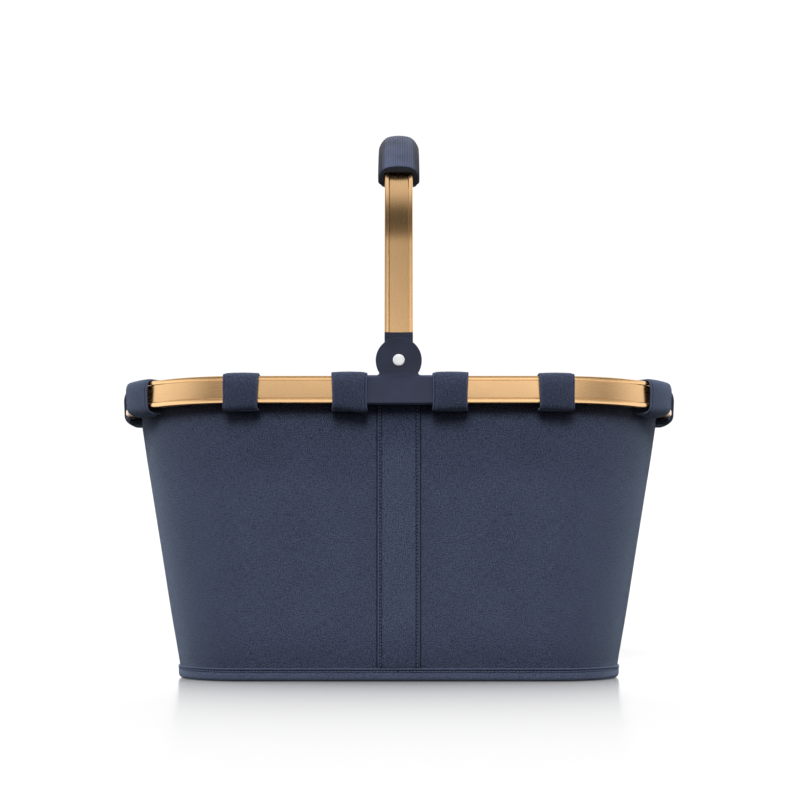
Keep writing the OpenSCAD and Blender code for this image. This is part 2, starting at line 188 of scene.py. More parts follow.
class Nodes:
    """A tree of shader nodes while it is put together."""

    def __init__(self, tree):
        self.tree = tree

    def add(self, kind, *inputs, output=0, **settings):
        """A node with its inputs in order, each a value, a level or None, and one output."""
        node = self.tree.nodes.new("ShaderNode" + kind)
        for setting, value in settings.items():
            setattr(node, setting, value)
        for place, value in enumerate(inputs):
            self.put(value, node.inputs[place])
        return Level(self, node.outputs[output]) if node.outputs else None

    def put(self, value, socket):
        if isinstance(value, Level):
            self.tree.links.new(value.socket, socket)
        elif value is not None:
            socket.default_value = value

    def colours(self, amount, stops):
        """The colour at an amount, by (amount, colour) stops."""
        node = self.tree.nodes.new("ShaderNodeValToRGB")
        elements = node.color_ramp.elements
        while len(elements) < len(stops):
            elements.new(0.5)
        for element, (at, colour) in zip(elements, stops):
            element.position = at
            element.color = (*colour, 1)
        self.put(amount, node.inputs[0])
        return Level(self, node.outputs[0])

    def ramp(self, value, stops):
        """A level that changes with a value from -1 to 1, by (value, level) stops."""
        return self.colours(value * 0.5 + 0.5, [(0.5 + at / 2, (level,) * 3) for at, level in stops])


class Finish(Nodes):
    """A material while its nodes are put together."""

    def __init__(self, name, **sockets):
        self.name = name
        self.material = bpy.data.materials.new(name)
        self.material.use_nodes = True
        super().__init__(self.material.node_tree)
        self.shader = self.tree.nodes["Principled BSDF"].inputs
        for socket, value in sockets.items():
            self.shader[socket.replace("_", " ")].default_value = value

    def scaled(self, vector, *factors):
        return self.add("VectorMath", vector, factors, operation="MULTIPLY")

    def surface(self, along=1.0, across=1.0):
        """The unrolled surface in millimetres, as a vector divided by the lengths given."""
        return self.scaled(self.add("UVMap", uv_map="surface"), 1 / along, 1 / across, 1)

    def place(self):
        """The place on the object, in millimetres."""
        return self.scaled(self.add("TexCoord", output=3), 1 / MM, 1 / MM, 1 / MM)

    def painted_shading(self):
        """Painted shading per point: paler (1) as a painted highlight on lips, folds and bevels,
        darker (-1) as painted shade in seams, grooves and under other parts.
        """
        return self.add("Attribute", attribute_name="painted_shading", output=2)

    def noise(self, vector, scale, detail=2.0, rough=0.5):
        """Noise from 0 to 1 round 0.5."""
        return self.add("TexNoise", vector, None, scale, detail, rough)

    def finish(self, dark, light, tone, height, depth, strength, rough=None):
        """Colour from dark to light by tone, and bump by height, depth millimetres deep."""
        self.put(self.colours(tone, [(0, dark), (1, light)]), self.shader["Base Color"])
        self.put(rough, self.shader["Roughness"])
        bump = self.tree.nodes.new("ShaderNodeBump")
        bump.inputs["Strength"].default_value = strength
        bump.inputs["Distance"].default_value = depth * MM
        self.put(height, bump.inputs["Height"])
        self.put(Level(self, bump.outputs[0]), self.shader["Normal"])
        FINISHES[self.name] = self.material


def woven(name, dark, light, yarn=0.62, speckle=1.0, sheen=0.3, turned=False):
    """Plain-woven cloth with uneven yarns, one yarn every so many millimetres."""
    cloth = Finish(name, Roughness=0.85, Specular_IOR_Level=0.1, Sheen_Weight=sheen,
                   Sheen_Roughness=0.45, Sheen_Tint=(0.62, 0.78, 1.0, 1))
    flat = cloth.surface()
    warp, weft = ((cloth.add("SeparateXYZ", flat, output=i) * (math.pi / yarn)).math("SINE")
                  for i in (0, 1))
    over = warp * weft * 0.5 + 0.5
    ridges = warp.math("ABSOLUTE") * over + weft.math("ABSOLUTE") * (1.0 - over)
    slub = (yarn * 9, yarn) if turned else (yarn, yarn * 9)
    slubs = (cloth.noise(cloth.surface(*slub), 1.0, 1.0)
             + cloth.noise(cloth.surface(*slub[::-1]), 1.0, 1.0))
    grain = cloth.noise(flat, 1.2, 2.0, 0.6)
    tone = (slubs * 0.4 + grain * 1.8 + -1.3) * speckle + cloth.noise(flat, 0.03) * 0.16
    # Painted shading from the mesh lightens the cloth's folds and darkens its grooves and shaded
    # places.
    tone = tone + ridges * 0.35 + cloth.painted_shading() * 0.45 + 0.22
    cloth.finish(dark, light, tone, grain * 0.9 + ridges, 0.16, 0.8)


def gold_aluminium():
    metal = Finish("gold_aluminium", Metallic=1.0, Anisotropic=0.2, Coat_Weight=0.4,
                   Coat_Roughness=0.12, Coat_IOR=2.0)
    streaks = metal.noise(metal.surface(60, 0.35), 1.0, 3.0, 0.6)
    haze = metal.noise(metal.surface(), 0.02)
    # Painted shading from the mesh: painted highlights on the lips, painted shade in the grooves and
    # under the straps; the dark end of the colour serves that shade.
    tone = haze * 0.3 + streaks * 0.04 + metal.painted_shading() * 0.5 + 0.58
    metal.finish((0.2, 0.09, 0.022), (1.0, 0.61, 0.275), tone, streaks, 0.0015, 0.5,
                 rough=streaks * 0.06 + 0.24)


def moulded(name, dark, light, rough=0.5, grain=0.03, level=0.0, uneven=1.0):
    """Moulded plastic with a fine matt grain. uneven is how far the tone goes beyond its level."""
    plastic = Finish(name, Specular_IOR_Level=0.42)
    spot = plastic.place()
    pits = plastic.noise(spot, 2.6, 3.0, 0.7)
    cloud = plastic.noise(spot, 0.06)
    # Painted shading from the mesh: a painted highlight on the bar's bevel, painted shade on the ear
    # and the socket.
    tone = (cloud * 0.6 + pits * 0.4) * uneven + plastic.painted_shading() * 0.6 + level
    plastic.finish(dark, light, tone, pits, grain, 0.7, rough=cloud * 0.12 + (rough - 0.06))


def bright_metal(name, colour, rough, metallic=1.0):
    """Turned or cast metal with faint tool marks."""
    metal = Finish(name, Metallic=metallic)
    marks = metal.noise(metal.place(), 1.8, 3.0, 0.6)
    metal.finish(tuple(0.86 * c for c in colour), colour, marks, marks, 0.01, 0.5,
                 rough=marks * 0.14 + (rough - 0.07))


def hook_and_loop():
    """The fuzzy face of a hook-and-loop pad."""
    fuzz = Finish("hook_and_loop", Roughness=0.95, Specular_IOR_Level=0.1, Sheen_Weight=0.5)
    loops = fuzz.noise(fuzz.surface(), 2.4, 4.0, 0.75)
    rows = fuzz.add("TexWave", fuzz.surface(), 0.45, 6.0, 3.0, output=1)
    fuzz.finish((0.008, 0.01, 0.02), (0.035, 0.042, 0.07), loops, rows * 0.4 + loops, 0.45, 1.0)


gold_aluminium()
hook_and_loop()
bright_metal("rivet_metal", (0.97, 0.97, 0.98), 0.45, 0.35)
bright_metal("zip_metal", (0.6, 0.6, 0.63), 0.3, 0.45)
moulded("navy_plastic", (0.006, 0.0075, 0.016), (0.08, 0.096, 0.175), level=0.077, uneven=0.28)
moulded("grip_foam", (0.009, 0.011, 0.02), (0.095, 0.116, 0.2), 0.68, 0.05)
moulded("zip_coil", (0.012, 0.014, 0.026), (0.02, 0.024, 0.042), 0.38)
woven("body_fabric", (0.01, 0.013, 0.027), (0.091, 0.11, 0.177), 0.62, 1.4)
woven("binding_fabric", (0.012, 0.015, 0.031), (0.108, 0.132, 0.212), 0.55, 1.4)
woven("strap_webbing", (0.008, 0.01, 0.021), (0.066, 0.08, 0.132), 0.58, 1.5, turned=True)
woven("lining_fabric", (0.016, 0.02, 0.04), (0.045, 0.054, 0.092), 0.4, 0.7)
woven("board", (0.02, 0.024, 0.04), (0.06, 0.068, 0.098), 0.45, 0.6, 0.1)
woven("zip_tape", (0.014, 0.018, 0.036), (0.04, 0.048, 0.082), 0.7, 0.6)
woven("thread", (0.05, 0.06, 0.1), (0.15, 0.18, 0.27), 0.3, 0.5)


# ---------------------------------------------------------------- meshes

def placed(name, data):
    """A new object in the scene, from a mesh, a light or a camera."""
    obj = bpy.data.objects.new(name, data)
    bpy.context.scene.collection.objects.link(obj)
    return obj


def meshed(name, points, faces):
    mesh = bpy.data.meshes.new(name)
    mesh.from_pydata(points, [], faces)
    return mesh


class Piece:
    """The mesh of one piece while it is made, with its unrolled surface as UV."""

    def __init__(self):
        self.points = []
        self.faces = []
        self.corners = []
        self.painted_shading = []

    def grid(self, rows, close_rows=False, close_columns=False, painted_shading=None):
        """Quads over rows of points. UV goes along the rows' order and along each row.

        The last argument is painted shading: how much paler (1) or darker (-1) the colour is painted
        where light or shade would fall, for each point of a row, or a list of those for each row.
        """
        count, width = len(rows), len(rows[0])
        self.points += [Vector(p) for row in rows for p in row]
        if painted_shading and isinstance(painted_shading[0], list):
            self.painted_shading += sum(painted_shading, [])
        else:
            self.painted_shading += (painted_shading or [0.0] * width) * count
        along = running([row[width // 2] for row in rows], close_rows)
        across = running(rows[count // 2], close_columns)
        for i in range(count if close_rows else count - 1):
            for j in range(width if close_columns else width - 1):
                places = ((i, j), (i + 1, j), (i + 1, j + 1), (i, j + 1))
                self.faces.append([k % count * width + m % width for k, m in places])
                self.corners.append([(along[k], across[m]) for k, m in places])

    def cap(self, first, count, flip=False):
        """One face over count points in order, such as the end of a sweep."""
        face = list(range(first, first + count))
        middle = sum((self.points[i] for i in face), Vector()) / count
        arms = [self.points[i] - middle for i in face]
        side = arms[0].normalized()
        normal = side.cross(arms[count // 4]).normalized()
        other = normal.cross(side)
        turn = -1 if flip else 1
        self.faces.append(face[::turn])
        self.corners.append([(arm.dot(side), arm.dot(other)) for arm in arms][::turn])

    def mirrored(self, *signs):
        """A copy with each coordinate times its sign, its faces still outward."""
        copy = Piece()
        copy.painted_shading = self.painted_shading
        copy.points = [Vector(c * s for c, s in zip(p, signs)) for p in self.points]
        turn = -1 if math.prod(signs) < 0 else 1
        copy.faces = [face[::turn] for face in self.faces]
        copy.corners = [spots[::turn] for spots in self.corners]
        return copy

    def add(self, other):
        first = len(self.points)
        self.points += other.points
        self.painted_shading += other.painted_shading
        self.faces += [[first + i for i in face] for face in other.faces]
        self.corners += other.corners

    def outward(self):
        """Turns the faces of a closed form outward, if they point in."""
        near = [p - self.points[0] for p in self.points]
        volume = 0
        for face in self.faces:
            a, *others = (near[i] for i in face)
            for b, c in zip(others, others[1:]):
                volume += a.dot(b.cross(c))
        return self if volume >= 0 else self.turned()

    def turned(self):
        self.faces = [face[::-1] for face in self.faces]
        self.corners = [spots[::-1] for spots in self.corners]
        return self

    def make(self, name, slot, nodes=(), body="basket", crease=40):
        """The Blender object, finished as its slot says, riding on a body for its CAD nodes."""
        mesh = meshed(name, [p * MM for p in self.points], self.faces)
        layer = mesh.uv_layers.new(name="surface")
        flat = [c for spots in self.corners for spot in spots for c in spot]
        layer.data.foreach_set("uv", flat)
        # Per-point painted shading, which the finishes read into their colour.
        painted_tone = mesh.attributes.new("painted_shading", "FLOAT", "POINT")
        painted_tone.data.foreach_set("value", self.painted_shading)
        mesh.shade_smooth()
        mesh.set_sharp_from_angle(angle=math.radians(crease))
        mesh.materials.append(FINISHES[slot])
        obj = placed(name, mesh)
        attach(obj, body)
        if nodes:
            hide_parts(*nodes)
        "binding_fabric" if slot == "thread" else slot
        return obj


def tube(rows, painted_shading=None):
    """A closed form from rows of closed sections, with a face over each end."""
    piece = Piece()
    piece.grid(rows, close_columns=True, painted_shading=painted_shading)
    width = len(rows[0])
    piece.cap(0, width)
    piece.cap((len(rows) - 1) * width, width, flip=True)
    return piece.outward()


def hoop(rows, painted_shading=None):
    """A closed form from rows of closed sections that lead back to the first one."""
    piece = Piece()
    piece.grid(rows, close_rows=True, close_columns=True, painted_shading=painted_shading)
    return piece.outward()


def running(points, closed=False):
    """Distances along points, with the way back to the first one if they are closed."""
    total = [0.0]
    for a, b in zip(points, points[1:] + points[:1] if closed else points[1:]):
        total.append(total[-1] + (Vector(b) - Vector(a)).length)
    return total


def steps(low, high, step):
    """Evenly spaced values from low to high, about one step apart."""
    count = max(1, round(abs(high - low) / step))
    return [low + (high - low) * i / count for i in range(count + 1)]


def walked(line, places):
    """For each of some rising distances along a line, its stretch and the share of it."""
    marks = running(line)
    k = 0
    for at in places:
        while k < len(marks) - 2 and marks[k + 1] < at:
            k += 1
        yield k, (at - marks[k]) / (marks[k + 1] - marks[k])


def resampled(points, step, closed=False):
    """A line or closed outline with evenly spaced points."""
    line = points + points[:1] if closed else points
    spots = [line[k].lerp(line[k + 1], t) for k, t in walked(line, steps(0, running(line)[-1], step))]
    return spots[:-1] if closed else spots


def smooth(low, high, value):
    """0 at low, 1 at high or beyond, and an even turn between."""
    t = min(1.0, max(0.0, (value - low) / (high - low)))
    return t * t * (3 - 2 * t)


def fillet(corners, closed=True, turn=14):
    """Points along a line of (x, y, radius) corners, rounded in steps of turn degrees."""
    points = []
    count = len(corners)
    for i, (x, y, radius) in enumerate(corners):
        here = Vector((x, y))
        if radius == 0 or (not closed and i in (0, count - 1)):
            points.append(here)
            continue
        before = (Vector(corners[i - 1][:2]) - here).normalized()
        after = (Vector(corners[(i + 1) % count][:2]) - here).normalized()
        half = before.angle(after) / 2
        centre = here + (before + after).normalized() * (radius / math.sin(half))
        start = here + before * (radius / math.tan(half)) - centre
        sweep = math.pi - 2 * half
        side = 1 if before.cross(after) < 0 else -1
        pieces = max(2, round(math.degrees(sweep) / turn))
        for k in range(pieces + 1):
            a = side * sweep * k / pieces
            points.append(centre + Vector((start.x * math.cos(a) - start.y * math.sin(a),
                                           start.x * math.sin(a) + start.y * math.cos(a))))
    return points


def inset(outline, distance):
    """A closed outline, walked anticlockwise, moved inward at every point."""
    moved = []
    for i, here in enumerate(outline):
        edge_in = (here - outline[i - 1]).normalized()
        edge_out = (outline[(i + 1) % len(outline)] - here).normalized()
        normal = Vector((-edge_in.y - edge_out.y, edge_in.x + edge_out.x)).normalized()
        lean = max(0.4, normal.dot(Vector((-edge_out.y, edge_out.x))))
        moved.append(here + normal * (distance / lean))
    return moved


def swept(stations, section):
    """Rows of a section carried along (origin, x axis, y axis) stations."""
    return [[origin + x_axis * p[0] + y_axis * p[1] for p in section]
            for origin, x_axis, y_axis in stations]


def lathe(profile, origin, axis, count):
    """A closed form turned from (radius, height) points about an axis."""
    side = axis.orthogonal().normalized()
    other = axis.cross(side)
    rows = []
    for i in range(count):
        a = 2 * math.pi * i / count
        out = side * math.cos(a) + other * math.sin(a)
        rows.append([origin + out * max(r, 0.01) + axis * h for r, h in profile])
    piece = Piece()
    piece.grid(rows, close_rows=True)
    width = len(profile)
    for column, turn in ((0, -1), (width - 1, 1)):
        if profile[column][0] == 0:
            piece.faces.append([i * width + column for i in range(count)][::turn])
            piece.corners.append([(0, 0)] * count)
    return piece.outward()


def rounding(edge):
    """(inset, depth) pairs from the face of a plate round its edge to its side."""
    turns = (math.pi / 2 * k / 4 for k in range(5))
    return [(edge * (1 - math.sin(a)), edge * (1 - math.cos(a))) for a in turns]


def plate(outline, place, thickness, edge):
    """A plate with rounded edges. place puts (x, y, depth) in the row frame."""
    levels = rounding(edge)
    levels += [(gap, thickness - depth) for gap, depth in reversed(levels)]
    return tube([[place(p.x, p.y, depth) for p in inset(outline, gap)] for gap, depth in levels])


class Outline:
    """A rounded rectangle, walked anticlockwise from its front middle."""

    STRAIGHT, CORNER = 0.42, 0.88     # share of a quarter at which each stretch ends

    def __init__(self, length, width, radius):
        self.half_x = length / 2 - radius
        self.half_y = width / 2 - radius
        self.radius = radius
        self.arc = radius * math.pi / 2
        self.quarter = self.half_x + self.arc + self.half_y

    def at(self, distance):
        """Point and outward direction at a distance round the outline."""
        number, along = divmod(distance, self.quarter)
        if number % 2:
            along = self.quarter - along
        if along < self.half_x:
            point = Vector((along, -self.half_y - self.radius, 0))
            outward = Vector((0, -1, 0))
        elif along < self.half_x + self.arc:
            angle = (along - self.half_x) / self.radius
            outward = Vector((math.sin(angle), -math.cos(angle), 0))
            point = Vector((self.half_x, -self.half_y, 0)) + outward * self.radius
        else:
            outward = Vector((1, 0, 0))
            point = Vector((self.half_x + self.radius,
                            along - self.half_x - self.arc - self.half_y, 0))
        turn = Vector(((1, 1), (1, -1), (-1, -1), (-1, 1))[int(number) % 4])
        for vector in (point, outward):
            vector.x *= turn.x
            vector.y *= turn.y
        return point, outward

    def station(self, t):
        """Point and outward direction at t quarters, alike on outlines of any size."""
        number = math.floor(t)
        share = t - number
        if number % 2:
            share = 1 - share
        if share < self.STRAIGHT:
            along = self.half_x * share / self.STRAIGHT
        elif share < self.CORNER:
            along = self.half_x + self.arc * (share - self.STRAIGHT) / (self.CORNER - self.STRAIGHT)
        else:
            along = (self.half_x + self.arc
                     + self.half_y * (share - self.CORNER) / (1 - self.CORNER))
        if number % 2:
            along = self.quarter - along
        return self.at(number * self.quarter + along)

    def rows(self, section):
        """Rows of an [outward, up] section all the way round."""
        stations = [self.station(i / ROWS) for i in range(4 * ROWS)]
        return [[point + outward * x + UP * z for x, z in section] for point, outward in stations]

    def stitches(self, out, z, facing):
        """A row of stitches all the way round, facing out (1) or in (-1)."""
        count = 90
        stations = [self.station(i / count) for i in range(4 * count + 1)]
        return stitched([point + outward * out + UP * z for point, outward in stations],
                        [outward * facing for _, outward in stations])


RIM = Outline(FRAME_L, FRAME_W, FRAME_R)
BASE = Outline(BASE_L, BASE_W, BASE_R)
COLLAR = Outline(FRAME_L - 2 * COLLAR_IN, FRAME_W - 2 * COLLAR_IN, FRAME_R - COLLAR_IN)


def stitched(line, normals):
    """A row of short thread capsules along a line of points with a normal each."""
    thread = Piece()
    count = int(running(line)[-1] / STITCH_PITCH)
    for k, t in walked(line, [(i + 0.5) * STITCH_PITCH for i in range(count)]):
        spot = line[k].lerp(line[k + 1], t)
        ahead = (line[k + 1] - line[k]).normalized()
        normal = normals[k].lerp(normals[k + 1], t).normalized()
        side = ahead.cross(normal).normalized()
        rows = []
        for s, r, dip in ((-0.5, 0.35, -0.8), (-0.36, 0.9, -0.1), (0, 1.0, 0.25),
                          (0.36, 0.9, -0.1), (0.5, 0.35, -0.8)):
            centre = spot + ahead * (s * STITCH_L) + normal * (STITCH_T * (0.5 + dip))
            rows.append([centre + (side * math.cos(a) + normal * math.sin(a)) * (r * STITCH_T)
                         for a in (2 * math.pi * i / 6 for i in range(6))])
        thread.add(tube(rows))
    return thread


# ---------------------------------------------------------------- metalwork

def tube_section(width):
    """The tube's section as [outward, across], with raised lips along its outer face."""
    low, slope = LIP_W, 0.5
    high = width - low
    floor = -LIP_D - 0.02
    return fillet([
        (0, 0, TUBE_R), (0, low, 0.3), (-LIP_D, low + slope, 0.25), (floor, low + slope + 0.6, 0),
        (floor, high - slope - 0.6, 0), (-LIP_D, high - slope, 0.25), (0, high, 0.3),
        (0, width, TUBE_R), (-TUBE_T, width, TUBE_R), (-TUBE_T, 0, TUBE_R)])


def tube_shading(section, low, high):
    """Painted shading: a painted highlight along the lips, and a painted tone as given in the corners
    beside the low and the high lip.
    """
    middle = (min(p.y for p in section) + max(p.y for p in section)) / 2
    painted_tone = []
    for p in section:
        groove = -LIP_D - 0.01 < p.x < -0.25 * LIP_D
        corner = high if p.y > middle else low
        painted_tone.append(corner if groove else 0.7 if p.x > -0.2 else 0.0)
    return painted_tone


def frame_bow():
    """The right half of the frame, with painted shade under the straps at its corners and beside the
    side's.
    """
    section = tube_section(FRAME_H)
    plain = tube_shading(section, 1.0, -0.4)
    stations, painted_shading = [], []
    for distance in steps(BAR_HALF, 2 * RIM.quarter - BAR_HALF, 4.0):
        point, outward = RIM.at(distance)
        stations.append((point + UP * FRAME_Z, outward, UP))
        along = RIM.quarter - abs(RIM.quarter - distance)
        nearest = min(abs(along - STRAP_CORNER), RIM.quarter - along)
        below = 1 - smooth(0.5 * STRAP_W, 2 * STRAP_W, nearest)
        below *= smooth(STRAP_CORNER - 0.6 * STRAP_W, STRAP_CORNER - 0.3 * STRAP_W, along)
        beside = 1 - smooth(0.5 * STRAP_W, STRAP_W, abs(distance - RIM.quarter + SIDE_SHIFT))
        # Painted shade: the tube painted darker under and beside the straps, where their shadow falls.
        painted_shading.append([painted_tone - 2 * max(beside, below * (1 - smooth(2, 4, p.y)))
                     for painted_tone, p in zip(plain, section)])
    return tube(swept(stations, section), painted_shading)


def handle_leg(side):
    """Stations up one leg's outer face. side is -1 at the front and 1 at the back."""
    return [(Vector((0, side * LEG_Y, z)), Vector((0, side, 0)), ACROSS)
            for z in steps(LEG_Z, BEND_Z, 3)[:-1]]


def handle_half(angle, side):
    """Stations from an angle round one bend to the middle of the handle's top."""
    stations = []
    for degrees in steps(angle, 0, 2):
        a = math.radians(degrees)
        outward = Vector((0, side * math.sin(a), math.cos(a)))
        bend = Vector((0, side * FLAT_HALF, BEND_Z))
        stations.append((bend + outward * BEND_R, outward, ACROSS))
    return stations + [(Vector((0, side * y, HANDLE_Z)), UP, ACROSS)
                       for y in steps(FLAT_HALF, 0, 3)[1:-1]]


def handle_top(front, back):
    """Stations over the top of the handle, to an angle round each bend."""
    middle = [(Vector((0, 0, HANDLE_Z)), UP, ACROSS)]
    return handle_half(front, -1) + middle + handle_half(back, 1)[::-1]


def handle_bow():
    section = [Vector((p.x, p.y - LEG_W / 2)) for p in tube_section(LEG_W)]
    stations = handle_leg(-1) + handle_top(90, 90) + handle_leg(1)[::-1]
    # Painted shading: a painted highlight on the lips, painted shade in the groove beside the low lip,
    # a lighter groove beside the high one.
    return tube(swept(stations, section), tube_shading(section, -1.2, 0.3))


def dome(diameter, height, count=9):
    """Profile of a rivet's domed head, from its middle to its edge."""
    edge = 0.22 * height
    radius = diameter / 2
    return [(radius * math.sin(math.pi / 2 * k / count) if k else 0,
             edge + (height - edge) * math.cos(math.pi / 2 * k / count))
            for k in range(count + 1)] + [(radius, 0.3 * edge), (radius - 0.3 * edge, 0)]


def pivot_rivet():
    """Rivet at the front, its axis along -Y and its head on the ear."""
    length = EAR_FACE - WASHER_Y
    tail = [(r, -length - h) for r, h in reversed(dome(8, 1.8))]
    profile = dome(9.4, 2.2) + [(RIVET_D / 2, 0), (RIVET_D / 2, -length)] + tail
    return lathe(profile, Vector((0, -EAR_FACE, PIVOT_Z)), Vector((0, -1, 0)), 48)


def pivot_washer():
    hole, outer, thick, edge = RIVET_D / 2 + 0.02, 6, 1, 0.2
    profile = [(hole, edge), (hole + edge, 0), (outer - edge, 0), (outer, edge),
               (outer, thick - edge), (outer - edge, thick), (hole + edge, thick),
               (hole, thick - edge), (hole, edge)]
    return lathe(profile, Vector((0, thick - WASHER_Y, PIVOT_Z)), Vector((0, -1, 0)), 48)


def lock_rivets(places):
    """Small rivets whose heads stand on a tube's inner face, at (x, y, z) places."""
    rivets = Piece()
    for x, y, z in places:
        axis = Vector((0, -math.copysign(1, y), 0))
        rivets.add(lathe(dome(7, 1, 6) + [(2, 0), (2, -3.5), (0, -3.5)], Vector((x, y, z)), axis, 28))
    return rivets


# ---------------------------------------------------------------- plastic parts

def combined(piece, tool, operation):
    """One clean closed mesh from two closed pieces."""
    body, other = (placed("solid", meshed("solid", p.points, p.faces)) for p in (piece, tool))
    step = body.modifiers.new(operation, "BOOLEAN")
    step.object = other
    step.operation = operation
    step.solver = "EXACT"
    mesh = body.evaluated_get(bpy.context.evaluated_depsgraph_get()).data
    result = Piece()
    result.points = [v.co.copy() for v in mesh.vertices]
    result.painted_shading = [0.0] * len(result.points)
    result.faces = [list(p.vertices) for p in mesh.polygons]
    result.corners = [[tuple(result.points[i].xz) for i in face] for face in result.faces]
    for obj in (other, body):
        bpy.data.objects.remove(obj)
    return result


def ear_outline():
    """The ear's disc with fillets down into the connector, as [across, up]."""
    rise = PIVOT_Z - BAR_TOP - EAR_FILLET
    reach = math.sqrt((EAR_R + EAR_FILLET) ** 2 - rise ** 2)
    touch = math.atan2(-rise, reach)
    half = [Vector((reach, BAR_TOP - 4)), Vector((reach, BAR_TOP))]
    for k in range(1, 9):
        a = -math.pi / 2 - (math.pi / 2 - touch) * k / 8
        half.append(Vector((reach + EAR_FILLET * math.cos(a),
                            BAR_TOP + EAR_FILLET + EAR_FILLET * math.sin(a))))
    for degrees in steps(math.degrees(touch), 90, 4)[1:]:
        a = math.radians(degrees)
        half.append(Vector((EAR_R * math.cos(a), PIVOT_Z + EAR_R * math.sin(a))))
    return half + [Vector((-p.x, p.y)) for p in reversed(half[:-1])]


def facing(front, inward):
    """Where a plate's (x, z, depth) is, from its front face inward (1) or outward (-1)."""
    return lambda x, z, depth: Vector((x, inward * depth - front, z))


def hinge_connector():
    """The connector at the front: a bar with a shallow seat for its ear, and the ear."""
    back = FRAME_W / 2 - TUBE_T
    section = fillet([(-BAR_FACE, BAR_Z, 1.2), (-back, BAR_Z, 1), (-back, BAR_TOP, 1),
                      (-BAR_FACE, BAR_TOP, 2.4)])
    bar = tube([[Vector((x, p.x, p.y)) for p in inset(section, gap)] for x, gap in (
        (-BAR_HALF, 0.4), (-BAR_HALF + 0.4, 0), (BAR_HALF - 0.4, 0), (BAR_HALF, 0.4))])
    seat_r = EAR_R + 0.25
    seat = plate([Vector((seat_r * math.cos(a), PIVOT_Z + seat_r * math.sin(a)))
                  for a in (2 * math.pi * k / 96 for k in range(96))], facing(EAR_FACE, -1), 4, 0.01)
    ear = plate(ear_outline(), facing(EAR_FACE, 1), EAR_T, 0.7)
    joined = combined(combined(bar, seat, "DIFFERENCE"), ear, "UNION")
    # Painted shading: the ear's disc painted darker, more so towards its top, as painted shade; a
    # painted highlight along the bar's top bevel.
    for i, p in enumerate(joined.points):
        if math.hypot(p.x, p.z - PIVOT_Z) < EAR_R + 0.15:
            joined.painted_shading[i] = -0.13 - 0.06 * smooth(PIVOT_Z, PIVOT_Z + EAR_R, p.z)
        else:
            on_bevel = abs(p.x) > 0.9 * EAR_R and BAR_TOP - 2 < p.z < BAR_TOP + 0.1
            joined.painted_shading[i] = 1.2 if on_bevel else 0.07
    return joined


def handle_end():
    """The plastic end of the handle at the front, an eye round the pivot."""
    turns = (math.radians(degrees) for degrees in steps(-180, 0, 6))
    outline = [Vector((END_R * math.cos(a), PIVOT_Z + END_R * math.sin(a))) for a in turns]
    outline += [Vector((END_R, LEG_Z)), Vector((-END_R, LEG_Z))]
    eye = plate(outline, facing(LEG_Y, 1), TUBE_T, 0.9)
    # Painted shade: the socket painted darker all over.
    eye.painted_shading = [-0.19] * len(eye.points)
    return eye


# ---------------------------------------------------------------- grip

def grip():
    """The grip as one skin: outside, rounded ends and the hollow round the tube."""
    low = -TUBE_T - GRIP_UNDER
    half = GRIP_W / 2
    outer = resampled(fillet([(low, -half, 4), (low, half, 4), (GRIP_TOP, half, 9),
                              (GRIP_TOP, -half, 9)], turn=4), RIB_PITCH / 6, closed=True)
    ribs, painted_shading = [], []
    count = round(running(outer, True)[-1] / RIB_PITCH)
    for i, p in enumerate(outer):
        tangent = (outer[(i + 1) % len(outer)] - outer[i - 1]).normalized()
        normal = Vector((tangent.y, -tangent.x))
        if normal.dot(p - Vector((low / 2, 0))) < 0:
            normal = -normal
        on_top = smooth(low + 2, low + 6, p.x)
        groove = (0.5 + 0.5 * math.cos(2 * math.pi * count * i / len(outer))) ** 2.5 * on_top
        crown = GRIP_CROWN * (2 * p.y / GRIP_W) ** 2 * smooth(low + 2, GRIP_TOP - 3, p.x)
        ribs.append(p - normal * (0.4 * groove) - Vector((crown, 0)))
        # Painted shading: lighter on top, darker down in the grooves and on the sides, as the light
        # falls.
        painted_shading.append(0.35 * on_top - 0.45 * groove - 1.4 * smooth(10, 17, abs(p.y)))
    clear = SEAT + 0.15
    side, under = LEG_W / 2 + clear, -TUBE_T - clear
    hole = fillet([(under, -side, 1.5), (under, side, 1.5), (1.2, side, 2.5), (1.2, -side, 2.5)],
                  turn=15)
    centre = Vector((low / 2 + 1.5, 0))
    inner = matched(ribs, hole, centre)
    lining = [p.lerp(q, 0.03) for p, q in zip(inner, ribs)]
    stations = handle_top(GRIP_FRONT, GRIP_BACK)

    def end(place, neighbour, shift, section):
        (origin, x_axis, y_axis), (beyond, _, _) = stations[place], stations[neighbour]
        moved = origin + (beyond - origin).normalized() * shift
        return swept([(moved, x_axis, y_axis)], section)

    skins = [(shift, [p.lerp(centre, gap / 17) for p in ribs])
             for shift, gap in ((0, 1.0), (0.35, 0.45), (1.0, 0.0))]
    rows = sum((end(0, 1, *skin) for skin in skins), []) + swept(stations[1:-1], ribs)
    rows += sum((end(-1, -2, *skin) for skin in reversed(skins)), []) + end(-1, -2, 0.0, lining)
    rows += swept(stations, inner)[::-1][1:-1] + end(0, 1, 0.0, lining)
    # Painted shade on the ends and inside, and the top of the arch painted darker where it faces up.
    dark = [-1.2] * len(painted_shading)
    shades = [dark, dark]
    for _, outward, _ in stations:
        shades.append([painted_tone - 0.6 * smooth(0.5, 1.0, outward.z) for painted_tone in painted_shading])
    return hoop(rows, shades + [dark] * (len(rows) - len(shades)))


